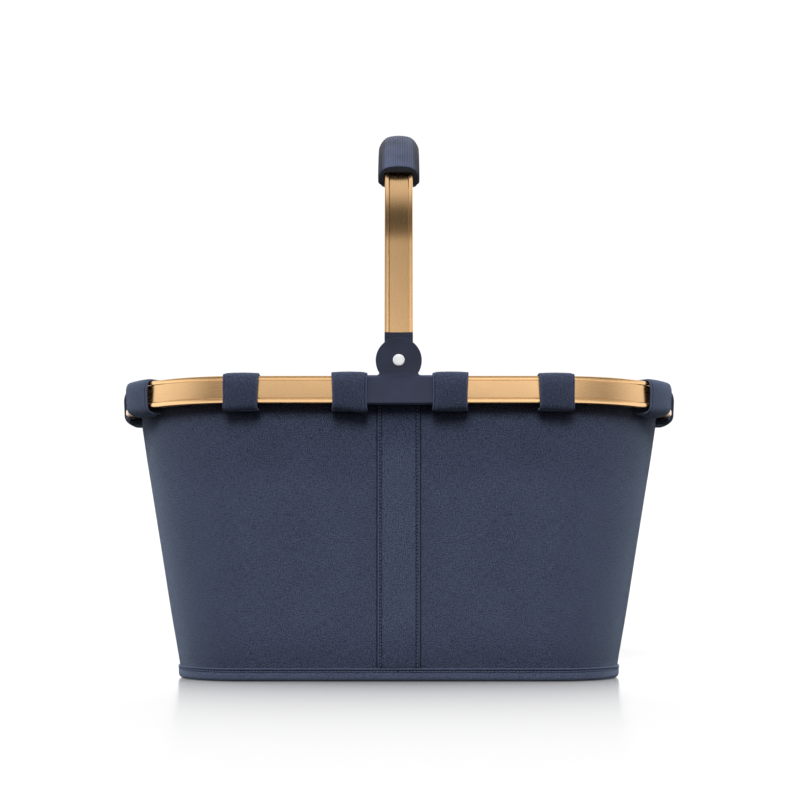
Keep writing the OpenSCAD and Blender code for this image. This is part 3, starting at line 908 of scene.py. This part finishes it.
def matched(outer, hole, centre):
    """For each point of outer, where the way from it to the centre meets the hole."""
    result = []
    for p in outer:
        ray = p - centre
        shares = []
        for a, b in zip(hole, hole[1:] + hole[:1]):
            edge = b - a
            across = ray.cross(edge)
            if abs(across) > 1e-9 and -1e-6 <= (a - centre).cross(ray) / across <= 1 + 1e-6:
                shares.append((a - centre).cross(edge) / across)
        result.append(centre + ray * max(shares))
    return result


# ---------------------------------------------------------------- fabric body

def relief(t, z, point):
    """How far the wall's cloth bellies outward from its plain form."""
    height = smooth(BAND_H + 2, BAND_H + 45, z) * (1 - smooth(COLLAR_Z - 30, COLLAR_Z + 4, z))
    seam = smooth(SEAM_W / 2, SEAM_W / 2 + 40, abs(point.x))
    soft = noise.noise(Vector((t * 2.3, z / 90, 3.1))) * 0.5 + 0.5
    fine = noise.noise(Vector((t * 9.0, z / 34, 8.7))) * 0.5 + 0.5
    pucker = math.exp(-((abs(point.x) - SEAM_W / 2 - 1) / 5) ** 2) * 0.12
    drawn = pucker * (0.5 + 0.5 * math.sin(z * 0.62 + 2 * noise.noise(Vector((0, 0, z / 20)))))
    return height * seam * (0.5 * soft + 0.18 * fine) + drawn * height


def wall_point(t, z, out=0.0, bellied=True):
    """A point out from the wall's outer face, at t quarters round and at a height."""
    low, low_out = BASE.station(t)
    high, high_out = COLLAR.station(t)
    share = min(1.0, max(0.0, (z - BAND_H) / (COLLAR_Z - BAND_H)))
    point = low.lerp(high, share)
    if bellied:
        out += relief(t, z, point)
    return point + low_out.lerp(high_out, share).normalized() * out + UP * z


def wall():
    """One wrap of the wall, from the front seam round the right end to the back seam."""
    heights = steps(3.0, BAND_H, 3.5)[:-1] + steps(BAND_H, COLLAR_Z, 3.6)
    heights += steps(COLLAR_Z, WALL_TOP - 0.5, 3.5)[1:]
    rows = []
    for t in (i / ROWS for i in range(2 * ROWS + 1)):
        outside = [wall_point(t, z) for z in heights] + [wall_point(t, WALL_TOP, -0.5)]
        inside = [wall_point(t, z, -WALL_T) for z in heights]
        row = outside + [wall_point(t, WALL_TOP, 0.5 - WALL_T)] + inside[::-1]
        rows.append([Vector((SEAT / 2, p.y, p.z)) for p in row] if t in (0, 2) else row)
    return tube(rows)


def wall_shading(p):
    """Painted shade: darker beside the frame and below it, and towards the base."""
    return (-0.8 * smooth(FRAME_Z - 12, FRAME_Z - 3, p.z) - 0.17 * smooth(150, 180, p.z)
            - 0.45 * (1 - smooth(0, 50, p.z)))


def seam_strap():
    """The strap over the front seam, with folded edges and a groove for each stitch row, painted
    lighter on its folds and darker in its grooves and at its top and foot as painted highlight and
    shade.
    """
    half = SEAM_W / 2
    profile = [(half, 0, -1.3), (half - 0.05, 0.35, -1.3), (half - 1.15, 0.4, -1.3),
               (half - 1.3, 0.9, -0.5), (half - 1.6, 1.25, 0.2), (half - 2.1, 1.45, 0.1),
               (half - 2.6, 1.1, -1.3), (half - 2.9, 0.6, -2.6), (half - 3.5, 0.6, -2.6),
               (half - 3.9, 1.05, -1), (half - 5.2, 1.1, -0.1), (half - 6.4, 0.9, -0.12),
               (half - 9, 0.8, -0.12), (half / 4, 0.84, -0.12)]
    section = profile + [(-x, y, painted_tone) for x, y, painted_tone in reversed(profile)]
    section += [(-half + 6, 0, 0), (0, 0, 0), (half - 6, 0, 0)]
    low, high = BAND_H + SEAT, WALL_TOP - HEM_H - SEAT
    rows, painted_shading = [], []
    for z in steps(low, high, 2.6):
        # Painted shade at the strap's foot and under the connector at its top.
        shade = 0.4 * (1 - smooth(low, low + 45, z)) + 0.6 * smooth(high - 20, high, z)
        shade += 0.32 * smooth(high - 50, high - 20, z)
        painted_shading.append([painted_tone - shade for _, _, painted_tone in section])
        end = min(1.0, (z - low) / 0.8 + 0.25, (high - z) / 0.8 + 0.25)
        base = wall_point(0, z, SEAT, bellied=False)
        row = []
        for x, y, _ in section:
            wave = 0.06 * math.sin(z * 0.62 + (1 if x > 0 else 0)) * smooth(half - 6, half - 2, abs(x))
            row.append(base + Vector((x, -(y + wave * min(y, 1)) * end, 0)))
        rows.append(row)
    return tube(rows, painted_shading)


def seam_stitches():
    thread = Piece()
    line = [wall_point(0, z, SEAT + 0.85, bellied=False)
            for z in steps(BAND_H + 1, WALL_TOP - HEM_H - 1, 3)]
    for x in (3.2 - SEAM_W / 2, SEAM_W / 2 - 3.2):
        thread.add(stitched([p + ACROSS * x for p in line],
                            [Vector((0, -1, 0.1)).normalized()] * len(line)))
    return thread


def fold_shading(depth, lip, groove):
    """A painted highlight on a fold's lip and painted shade in the stitch groove below it, by the
    depth from its edge.
    """
    return 1.0 if depth < lip else -0.9 if depth < groove else 0.0


def rim_binding():
    """The binding folded over the walls' top edge, its own edges turned under."""
    inner, outer = -WALL_T - SEAT / 2, SEAT / 2
    low, top = WALL_TOP - HEM_H, WALL_TOP + SEAT
    fold = [(0, low + 0.1, 0), (0.95, low, 0.4), (HEM_T + 0.1, low + 1.5, 0.8),
            (HEM_T - 0.15, low + 2.4, 0.5), (HEM_T, low + 4, 0.8), (HEM_T, top + HEM_T, 1.3)]
    section = fillet([(outer + x, z, radius) for x, z, radius in fold]
                     + [(inner - x, z, radius) for x, z, radius in reversed(fold)]
                     + [(inner, top, 0.4), (outer, top, 0.4)], turn=30)
    painted_shading = [fold_shading(p.y - low, 1.5, 3.2) for p in section]
    return hoop(COLLAR.rows(section), painted_shading)


def base_binding():
    """The binding round the base: a folded lip, a stitch groove, and a rounded lower edge."""
    out = SEAT / 2
    face = out + BAND_T
    section = fillet([
        (out, BAND_H - 0.2, 0), (out + 0.35, BAND_H, 0.2), (face + 0.45, BAND_H - 0.35, 0.5),
        (face + 0.35, BAND_H - 1.5, 0.5), (face - 0.4, BAND_H - 2.1, 0.4),
        (face - 0.2, BAND_H - 3.0, 0.5), (face + 0.2, BAND_H - 4.4, 1.5), (face, 3.6, 1.5),
        (face - 0.15, 0.05, 3.4), (-9, 0.05, 0), (-9, 0.75, 0), (out - 0.3, 0.95, 2.3),
        (out, 4, 1)], turn=15)
    # Painted shade in the seam crease along the band's top, besides the fold's highlight and groove
    # shade.
    painted_shading = [fold_shading(BAND_H - p.y, 1.2, 3.1) - 1.2 * (p.y > BAND_H - 1.6) for p in section]
    return hoop(BASE.rows(section), painted_shading)


def slab(length, width, radius, low, high, edge):
    """A level slab with round corners and rounded edges, fanned in to its middle."""
    def rings(levels):
        shapes = [(Outline(length - 2 * gap, width - 2 * gap, radius - gap), z) for gap, z in levels]
        return [[shape.station(i / count)[0] + UP * z for i in range(4 * count)]
                for shape, z in shapes]

    count = 40
    arc = rounding(edge)
    gaps = (3, 8, 16, 28, 42, 56)
    piece = tube(rings([(gap, low) for gap in reversed(gaps)]
                       + [(gap, low + depth) for gap, depth in arc]
                       + [(gap, high - depth) for gap, depth in reversed(arc)]
                       + [(gap, high) for gap in gaps]))
    piece.corners = [[tuple(piece.points[i].xy) for i in face] for face in piece.faces]
    return piece


# ---------------------------------------------------------------- hanging straps

def on_rim(distance, out, up):
    """A point by its place along, out from and up the rim frame's outer face."""
    point, outward = RIM.at(distance % (4 * RIM.quarter))
    return point + outward * out + UP * up


def strap_path(out, rise, slack, loose):
    """Middle line of a strap as [out, up], from the wall under the frame, up, over and down.

    loose is how much rounder it lies at the corners of the frame.
    """
    half = STRAP_T / 2
    face = STRAP_SEAT + out + slack + half
    top = FRAME_TOP + SEAT + rise + half
    bottom = STRAP_Z + half
    start = -COLLAR_IN + 0.95
    inside = -STRAP_IN - half
    return fillet([(start, WALL_TOP - HEM_H - 0.4, 0), (start, bottom, 2.0),
                   (face, bottom, 3.0 + loose), (face + 1.4, FRAME_TOP - 5, 16),
                   (face - 0.2, top, 2.6 + 0.3 * loose), (inside, top, 3.0),
                   (inside, STRAP_Z - 1, 0)], closed=False, turn=12)


def strap(distance, seed, out=0.0, rise=0.0, slack=0.0, droop=0.0, seam=1, flare=0.0, full=0.0,
          shift=0.0, painted_side_light=0.0):
    """A doubled strip of cloth folded round the rim, and its length.

    seam is the side of its sewn edge, flare how far its other side stands out, full how much
    thicker its fold under the rim is, shift how far it has slid along the rim, and the last
    argument how much lighter its cloth is painted, as painted light from the side.
    """
    rng = random.Random(seed)
    skew, puff = rng.uniform(-0.5, 0.5), rng.uniform(0.15, 0.45)
    half = STRAP_W / 2
    path = resampled(strap_path(out, rise, slack, 3 * slack + 0.8 * flare), 1.3)
    height = max(p.y for p in path) - STRAP_Z
    marks = running(path)
    # The third number of each point is painted shading: highlights on the folded edges, shade beside
    # them.
    section = [(-half, 0.0, 0), (-half + 0.12, 0.55, 0.3), (-half + 0.6, 0.95, 0.6),
               (-half + 1.3, 1.05, 0.4), (-half + 2.2, 0.93, 0), (-half + 4, 0.98, 0),
               (-half / 2, 1.06, 0), (0, 1.1, 0), (half / 2, 1.06, 0), (half - 4, 0.98, 0),
               (half - 2.3, 0.95, 0.2), (half - 1.85, 0.4, -1), (half - 1.4, 0.45, -0.4),
               (half - 0.6, 0.6, 1), (half - 0.1, 0.4, 1), (half, 0.0, 0.5),
               (half - 0.1, -0.5, -0.8), (half - 0.8, -0.95, -1), (half - 4, -1.0, 0),
               (0, -1.0, 0), (-half + 4, -1.0, 0), (-half + 0.8, -0.95, -1),
               (-half + 0.1, -0.5, -0.8)]
    rows, painted_shading = [], []
    for i, spot in enumerate(path):
        ahead = (path[min(i + 1, len(path) - 1)] - path[max(i - 1, 0)]).normalized()
        normal = Vector((ahead.y, -ahead.x))
        tip = min(1.0, 0.45 + marks[i] / 1.5, 0.45 + (marks[-1] - marks[i]) / 1.5)
        flat = smooth(-COLLAR_IN + 1, -COLLAR_IN + 4, spot.x) if i < len(path) / 2 else 1.0
        depth = (0.5 + 0.5 * flat) * tip
        row = []
        for across, lift, _ in section:
            share = seam * across / half
            if lift > 0:
                thick = lift * depth
                belly = puff * (1 - share * share) * smooth(-6, 3, spot.x)
            else:
                thick = lift * (depth + full * (lift < 0) * smooth(STRAP_Z + 4, STRAP_Z + 1.5, spot.y))
                belly = 0.0
            here = spot + normal * (thick + belly)
            here.x += flare * (0.5 - 0.5 * share * seam) * smooth(-4, 3, spot.x)
            outer = smooth(-9, 0, here.x)
            below = outer * (1 - smooth(STRAP_Z + 2, FRAME_TOP - 8, here.y))
            share_up = min(1, max(0, (here.y - STRAP_Z) / height))
            waist = WAIST * outer * math.sin(math.pi * share_up)
            sag = droop * smooth(-0.6, 1.0, share * (1 if droop > 0 else -1))
            side = seam * across * (1 - 0.02 * below - waist)
            side += skew * (here.y - FRAME_TOP) / FRAME_H * outer
            row.append(on_rim(distance + shift + side, here.x, here.y - abs(sag) * below))
        rows.append(row)
        # Painted shading: the strap lighter towards its top and darker at its foot, as if lit from
        # above.
        painted_top_light = painted_side_light + 0.5 * (spot.y - STRAP_Z) / height - 0.33
        painted_shading.append([painted_tone + painted_top_light for _, _, painted_tone in section])
    return tube(rows, painted_shading), marks[-1]


# ---------------------------------------------------------------- inside the bag

LEAN = math.atan2(COLLAR.half_y + COLLAR.radius - BASE_W / 2, COLLAR_Z - BAND_H)


def on_back_wall(x, out, up):
    """A point by its place across, out from and up the inner face of the back wall."""
    return Vector((x, BASE_W / 2 - WALL_T - out * math.cos(LEAN) + up * math.sin(LEAN),
                   BAND_H + out * math.sin(LEAN) + up * math.cos(LEAN)))


def hemmed(low, high, hem, inner, step):
    """Values from low to high with an extra one close to each end."""
    return [low, low + hem] + steps(low + inner, high - inner, step) + [high - hem, high]


def pocket():
    """The pocket's cloth, sewn down on three sides and a little slack in its middle."""
    rows = []
    half = POCKET_W / 2
    for x in hemmed(-half, half, 0.5, 2, 4):
        front, back = [], []
        for up in hemmed(0, POCKET_H, 0.5, 2, 4):
            side = smooth(3, 30, half - abs(x))
            slack = side * smooth(3, 26, up) * smooth(0, 34, POCKET_H - up)
            folds = noise.noise(Vector((x / 42, up / 60, 5.3))) * 0.5 + 0.6
            ripple = math.sin(x / 7.3 + 2 * noise.noise(Vector((x / 30, 0, 2)))) * 0.35
            lift = max(SEAT, SEAT + 3.2 * slack * folds + ripple * smooth(40, 80, up) * side)
            edge = 0.35 if min(up, POCKET_H - up, half - abs(x)) < 0.4 else 0.0
            back.append(on_back_wall(x, lift + edge, POCKET_UP + up))
            front.append(on_back_wall(x, lift + POCKET_T - edge, POCKET_UP + up))
        rows.append(front + back[::-1])
    return tube(rows)


def sewn_on_back(line):
    """Stitches along a line of points on the back wall."""
    return stitched(line, [Vector((0, -math.cos(LEAN), math.sin(LEAN)))] * len(line))


def pocket_stitches():
    """Two rows round the pocket's sides and foot."""
    thread = Piece()
    for gap in (1.4, 5.0):
        half, low, top = POCKET_W / 2 - gap, POCKET_UP + gap, POCKET_UP + POCKET_H - 3
        ends = [on_back_wall(x, SEAT + POCKET_T, up)
                for x, up in ((-half, top), (-half, low), (half, low), (half, top))]
        thread.add(sewn_on_back([a.lerp(b, k / 40) for a, b in zip(ends, ends[1:])
                                 for k in range(40)]))
    return thread


def tape_stitches():
    """A row along each edge of the zip's tape."""
    thread = Piece()
    for up in (ZIP_UP - 6.3, ZIP_UP + 6.3):
        thread.add(sewn_on_back([on_back_wall(x, SEAT + 0.6 * TAPE_T, up)
                                 for x in steps(3 - POCKET_W / 2, POCKET_W / 2 - 3, 5)]))
    return thread


def zip_cloth():
    """The zip's tape, a woven strip with a raised cord along each edge of its teeth."""
    # The third number is painted shading: lighter on the cords, darker in the grooves beside the
    # teeth.
    section = [(-8, 0, 0), (-8, 0.5, 0.4), (-7.6, 0.72, 0.5), (-7, 0.6, 0), (-6.3, 0.55, -0.5),
               (-5.6, 0.6, 0), (-3.2, 0.62, 0), (-2.6, 0.95, 0.3), (-1.9, 0.95, 0.3),
               (-1.4, 0.6, 0), (-0.3, 0.6, -0.6), (0, 0.3, -1)]
    section += [(-up, out, painted_tone) for up, out, painted_tone in section[-2::-1]]
    section += [(4, 0, 0), (-4, 0, 0)]
    rows = []
    for x in steps(-POCKET_W / 2, POCKET_W / 2, 4):
        sway = 0.12 * math.sin(x / 9)
        rows.append([on_back_wall(x, SEAT + out * TAPE_T + sway * min(out, 0.5), ZIP_UP + up)
                     for up, out, _ in section])
    return tube(rows, [painted_tone for _, _, painted_tone in section])


def zip_blocks(starts, width, edge):
    """Moulded blocks of the zip, standing on the tape."""
    def place(at, up, depth):
        return on_back_wall(at, SEAT + TAPE_T + TOOTH_T - depth, ZIP_UP + up)

    blocks = Piece()
    half = TOOTH_W / 2
    for x in starts:
        outline = fillet([(x, -half, 0.35), (x + width, -half, 0.35), (x + width, half, 0.35),
                          (x, half, 0.35)], turn=45)
        blocks.add(plate(outline, place, TOOTH_T, edge))
    return blocks


def pads():
    """The hook-and-loop pads between the straps and the walls' inner face."""
    low, high = STRAP_Z, WALL_TOP - HEM_H - SEAT
    outer = -COLLAR_IN - WALL_T - SEAT
    inner = outer - PAD_T
    section = fillet([(outer, low, 0.2), (outer, high, 0.2), (inner, high, 0.45),
                      (inner, low, 0.45)], turn=30)
    half = STRAP_W / 2 - PAD_INSET
    piece = Piece()
    places = [sign * place for place in (STRAP_INNER, STRAP_OUTER, STRAP_CORNER) for sign in (1, -1)]
    places += [BACK + place for place in places] + [RIM.quarter, 3 * RIM.quarter]
    for place in places:
        rows = []
        for across in hemmed(-half, half, 0.3, 2, 3):
            thin = 0.6 if abs(across) == half else 1.0
            rows.append([on_rim(place + across, outer + (p.x - outer) * thin, p.y) for p in section])
        piece.add(tube(rows))
    return piece


# ---------------------------------------------------------------- the object

def both(piece, name, slot, node, body="basket", **options):
    """A piece at the front and its mirror image at the back, each for its own CAD node."""
    for end, sign in (("_front", 1), ("_back", -1)):
        piece.mirrored(1, sign, 1).make(name + end, slot, [node + end], body, **options)


BACK = 2 * RIM.quarter

bow = frame_bow()
bow.make("bow_right", "gold_aluminium", ["frame_bow_right"], crease=50)
bow.mirrored(-1, 1, 1).make("bow_left", "gold_aluminium", ["frame_bow_left"], crease=50)
handle_bow().make("handle_tube", "gold_aluminium", ["handle_bow"], "handle", crease=50)

both(hinge_connector(), "connector", "navy_plastic", "hinge_connector", crease=25)
both(handle_end(), "handle_socket", "navy_plastic", "handle_end", "handle")
both(pivot_rivet(), "rivet", "rivet_metal", "pivot_rivet")
both(pivot_washer(), "washer", "rivet_metal", "pivot_washer")
lock_rivets([(x * (BAR_HALF + LOCK_IN), y * (FRAME_W / 2 - TUBE_T), FRAME_Z + FRAME_H / 2)
             for x in (-1, 1) for y in (-1, 1)]).make(
    "small_rivets_frame", "rivet_metal", ["frame_lock_rivets"])
lock_rivets([(0, y * (LEG_Y - TUBE_T), LEG_Z + LOCK_IN) for y in (-1, 1)]).make(
    "small_rivets_handle", "rivet_metal", ["handle_lock_rivets"], "handle")

handle_grip = grip().make("grip", "grip_foam", ["handle_grip"], "handle", crease=60)

wrap = wall()
# The walls' painted shade, below the frame and towards the base.
wrap.painted_shading = [wall_shading(p) for p in wrap.points]
half_round = BASE.quarter + COLLAR.quarter
for name, side in (("right", 1), ("left", -1)):
    cloth = wrap.mirrored(side, 1, 1).make("panel_" + name, "body_fabric", ["wall_" + name])
    half_round * MM

for name, sign in (("front", 1), ("back", -1)):
    strip = seam_strap().mirrored(1, sign, 1).make(
        "seam_band_" + name, "binding_fabric", ["seam_strap_" + name])
    thread = seam_stitches().mirrored(1, sign, 1).make("seam_thread_" + name, "thread")

rim_tape = rim_binding().make("rim_tape", "binding_fabric", ["rim_binding"])
stitch_z = WALL_TOP - HEM_H + 2.3
rim_thread = COLLAR.stitches(SEAT / 2 + HEM_T - 0.1, stitch_z, 1)
rim_thread.add(COLLAR.stitches(-WALL_T - SEAT / 2 - HEM_T + 0.1, stitch_z, -1))
rim_thread = rim_thread.make("rim_thread", "thread")
4 * COLLAR.quarter * MM

base_tape = base_binding().make("base_tape", "binding_fabric", ["base_binding"])
base_thread = BASE.stitches(SEAT / 2 + BAND_T - 0.12, BAND_H - 2.4, 1).make("base_thread", "thread")
4 * BASE.quarter * MM

inner_l, inner_w = BASE_L - 2 * (WALL_T + SEAT), BASE_W - 2 * (WALL_T + SEAT)
base_cloth = slab(inner_l, inner_w, BASE_R - WALL_T - SEAT, 0.98, 1.98, 0.3).make(
    "base_cloth", "body_fabric", ["base_panel"])
slab(inner_l - 0.4, inner_w - 0.4, BASE_R - WALL_T - 2 * SEAT, 2.02, 3.9, 0.9).make(
    "base_board_cover", "board", ["base_board"])

over_bar = {"out": 1.2, "rise": 0.6}
on_side = {"slack": 1.4, "full": 3.4}
front_corner = {"slack": 0.0, "flare": 4.0}
back_corner = {"slack": 1.2, "flare": 3.2}
straps = (
    ("front_1", -STRAP_OUTER, {"droop": -0.9, "seam": -1}),
    ("front_2", -STRAP_INNER, {"droop": 2.2, "seam": 1, "shift": 1.2, **over_bar}),
    ("front_3", STRAP_INNER, {"droop": -1.0, "seam": -1, "shift": 0.7, **over_bar}),
    ("front_4", STRAP_OUTER, {"droop": 0.9, "seam": 1}),
    # The front corner straps are painted lighter, as painted light from the side.
    ("corner_1", -STRAP_CORNER, {"seam": 1, "shift": -2, "painted_side_light": 0.6, **front_corner}),
    ("corner_2", STRAP_CORNER, {"seam": -1, "shift": 2, "painted_side_light": 0.7, **front_corner}),
    ("side_right", RIM.quarter, {"shift": -SIDE_SHIFT, **on_side}),
    ("side_left", 3 * RIM.quarter, {"shift": SIDE_SHIFT, **on_side}),
    ("back_1", BACK + STRAP_OUTER, {"droop": 0.4}),
    ("back_2", BACK + STRAP_INNER, {"droop": 1.2, **over_bar}),
    ("back_3", BACK - STRAP_INNER, {"droop": -0.9, **over_bar}),
    ("back_4", BACK - STRAP_OUTER, {"droop": -0.5}),
    ("corner_3", BACK - STRAP_CORNER, {"seam": 1, **back_corner}),
    ("corner_4", BACK + STRAP_CORNER, {"seam": -1, **back_corner}),
)
for number, (name, distance, shape) in enumerate(straps):
    piece, length = strap(distance, number, **shape)
    loop = piece.make("loop_" + name, "strap_webbing", ["strap_" + name])
    length * MM

pocket_cloth = pocket().make("pocket_cloth", "lining_fabric", ["pocket_panel"])
pocket_thread = pocket_stitches().make("pocket_thread", "thread")

zip_strip = zip_cloth().make("zip_cloth", "zip_tape", ["zip_tape"])
tape_thread = tape_stitches().make("zip_thread", "thread")

count = int((2 * ZIP_HALF - TOOTH_L) / TOOTH_PITCH) + 1
zip_blocks([i * TOOTH_PITCH - ZIP_HALF for i in range(count)], TOOTH_L, 0.3).make(
    "zip_blocks", "zip_coil", ["zip_teeth"])
zip_blocks([-ZIP_HALF - 1.5 * STOP_W, ZIP_HALF + 0.5 * STOP_W], STOP_W, 0.4).make(
    "zip_ends", "zip_metal", ["zip_stops"])
pads().make("grab_pads", "hook_and_loop", ["closure_pads"])

for node in ("zip_slider", "zip_puller"):
    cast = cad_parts[node]
    cast.data.materials.clear()
    cast.data.materials.append(FINISHES["zip_metal"])
    edges = cast.modifiers.new("edges", "BEVEL")
    edges.width = 0.2 * MM
    edges.segments = 2
    edges.limit_method = "ANGLE"
    edges.harden_normals = True


# ---------------------------------------------------------------- studio

WHITE = (1, 1, 1, 1)

# How bright the room is: in front by x from left to right, by height, and above
FRONT_LEVEL = 1.6
FRONT_LEVELS = ((-1, 0.88), (-0.85, 0.7), (-0.53, 0.2), (-0.12, 0.6), (0, 0.76), (0.12, 1.08),
                (0.45, 0.56), (0.82, 0.3), (1, 0.75))
BAND_LEVELS = ((-0.1, 1), (0.13, 1), (0.28, 0))
TOP_LEVELS = ((0.68, 0), (0.88, 1))
TOP_LEVEL, BACK_LEVEL, GAP_LEVEL = 0.9, 1.2, 0.09
MATT_SHARE = 0.42


def studio_floor():
    """A white floor, glossy near the object, that throws little light on matt surfaces."""
    half, gloss_from, gloss_fade = 6.0, 0.12, 0.13
    mesh = meshed("floor", [(-half, -half, 0), (half, -half, 0), (half, half, 0), (-half, half, 0)],
                  [(0, 1, 2, 3)])
    floor = placed("floor", mesh)
    floor.location.z = -0.0003
    white = bpy.data.materials.new("white_floor")
    white.use_nodes = True
    white.node_tree.nodes.clear()
    nodes = Nodes(white.node_tree)
    spot = nodes.add("VectorMath", nodes.add("TexCoord", output=3), (1 / 1.8, 1, 0),
                     operation="MULTIPLY")
    away = nodes.add("VectorMath", spot, operation="LENGTH", output=1)
    fade = (away * (-1 / gloss_fade) + gloss_from / gloss_fade).math("EXPONENT")
    matt = nodes.add("BsdfDiffuse", (0.525, 0.525, 0.525, 1))
    gloss = nodes.add("BsdfGlossy", WHITE, 0.16)
    laid = nodes.add("MixShader", fade * nodes.add("Fresnel", 1.5) * 1.05, matt, gloss)
    shown = nodes.add("AddShader", laid, nodes.add("Emission", WHITE, 0.12))
    dim = nodes.add("BsdfDiffuse", (0.03, 0.03, 0.03, 1))
    diffuse_ray = nodes.add("LightPath", output=2)
    nodes.add("OutputMaterial", nodes.add("MixShader", diffuse_ray, shown, dim))
    mesh.materials.append(white)


def studio_room():
    """White to the camera. Round the object, softboxes in front, behind and above."""
    world = bpy.data.worlds.new("studio")
    world.use_nodes = True
    bpy.context.scene.world = world
    world.node_tree.nodes.clear()
    nodes = Nodes(world.node_tree)
    way = nodes.add("TexCoord")
    x, y, z = (nodes.add("SeparateXYZ", way, output=i) for i in range(3))
    front = nodes.ramp(x, FRONT_LEVELS) * FRONT_LEVEL
    behind = nodes.ramp(y, ((-0.2, 0), (0.3, 1)))
    low = behind * (BACK_LEVEL - front) + front
    rest = behind * (BACK_LEVEL - GAP_LEVEL) + GAP_LEVEL
    level = nodes.ramp(z, BAND_LEVELS) * (low + rest * -1.0) + rest
    level = nodes.ramp(z, TOP_LEVELS) * (TOP_LEVEL - level) + level
    diffuse_ray = nodes.add("LightPath", output=2)
    lit = nodes.add("Background", WHITE, level * (diffuse_ray * (MATT_SHARE - 1) + 1.0))
    seen = nodes.add("Background", WHITE, 1.05)
    nodes.add("OutputWorld", nodes.add("MixShader", nodes.add("LightPath"), lit, seen))


def sun(name, elevation, azimuth, strength, spread):
    """A far, soft light. Azimuth is 0 in front and 90 at the right."""
    light = bpy.data.lights.new(name, "SUN")
    light.energy = strength
    light.angle = math.radians(spread)
    lamp = placed(name, light)
    up, round_it = math.radians(elevation), math.radians(azimuth)
    to_light = Vector((math.cos(up) * math.sin(round_it), -math.cos(up) * math.cos(round_it),
                       math.sin(up)))
    lamp.rotation_euler = to_light.to_track_quat("Z", "Y").to_euler()
    lamp.visible_glossy = False


studio_floor()
studio_room()
sun("key", 34, -4, 2.8, 28)
sun("fill_left", 30, -78, 0.8, 50)
sun("fill_right", 30, 78, 0.95, 50)
sun("back", 38, 180, 1.3, 50)
sun("overhead", 88, 0, 1.2, 60)

camera = bpy.data.cameras.new("camera")
camera.sensor_width = 36
camera.lens = 64.44
viewpoint = placed("camera", camera)
viewpoint.location = (0.001, -1.25, 0.086)
viewpoint.rotation_euler = (math.radians(96.849), 0, 0)
bpy.context.scene.camera = viewpoint
bpy.context.scene.view_settings.view_transform = "Standard"
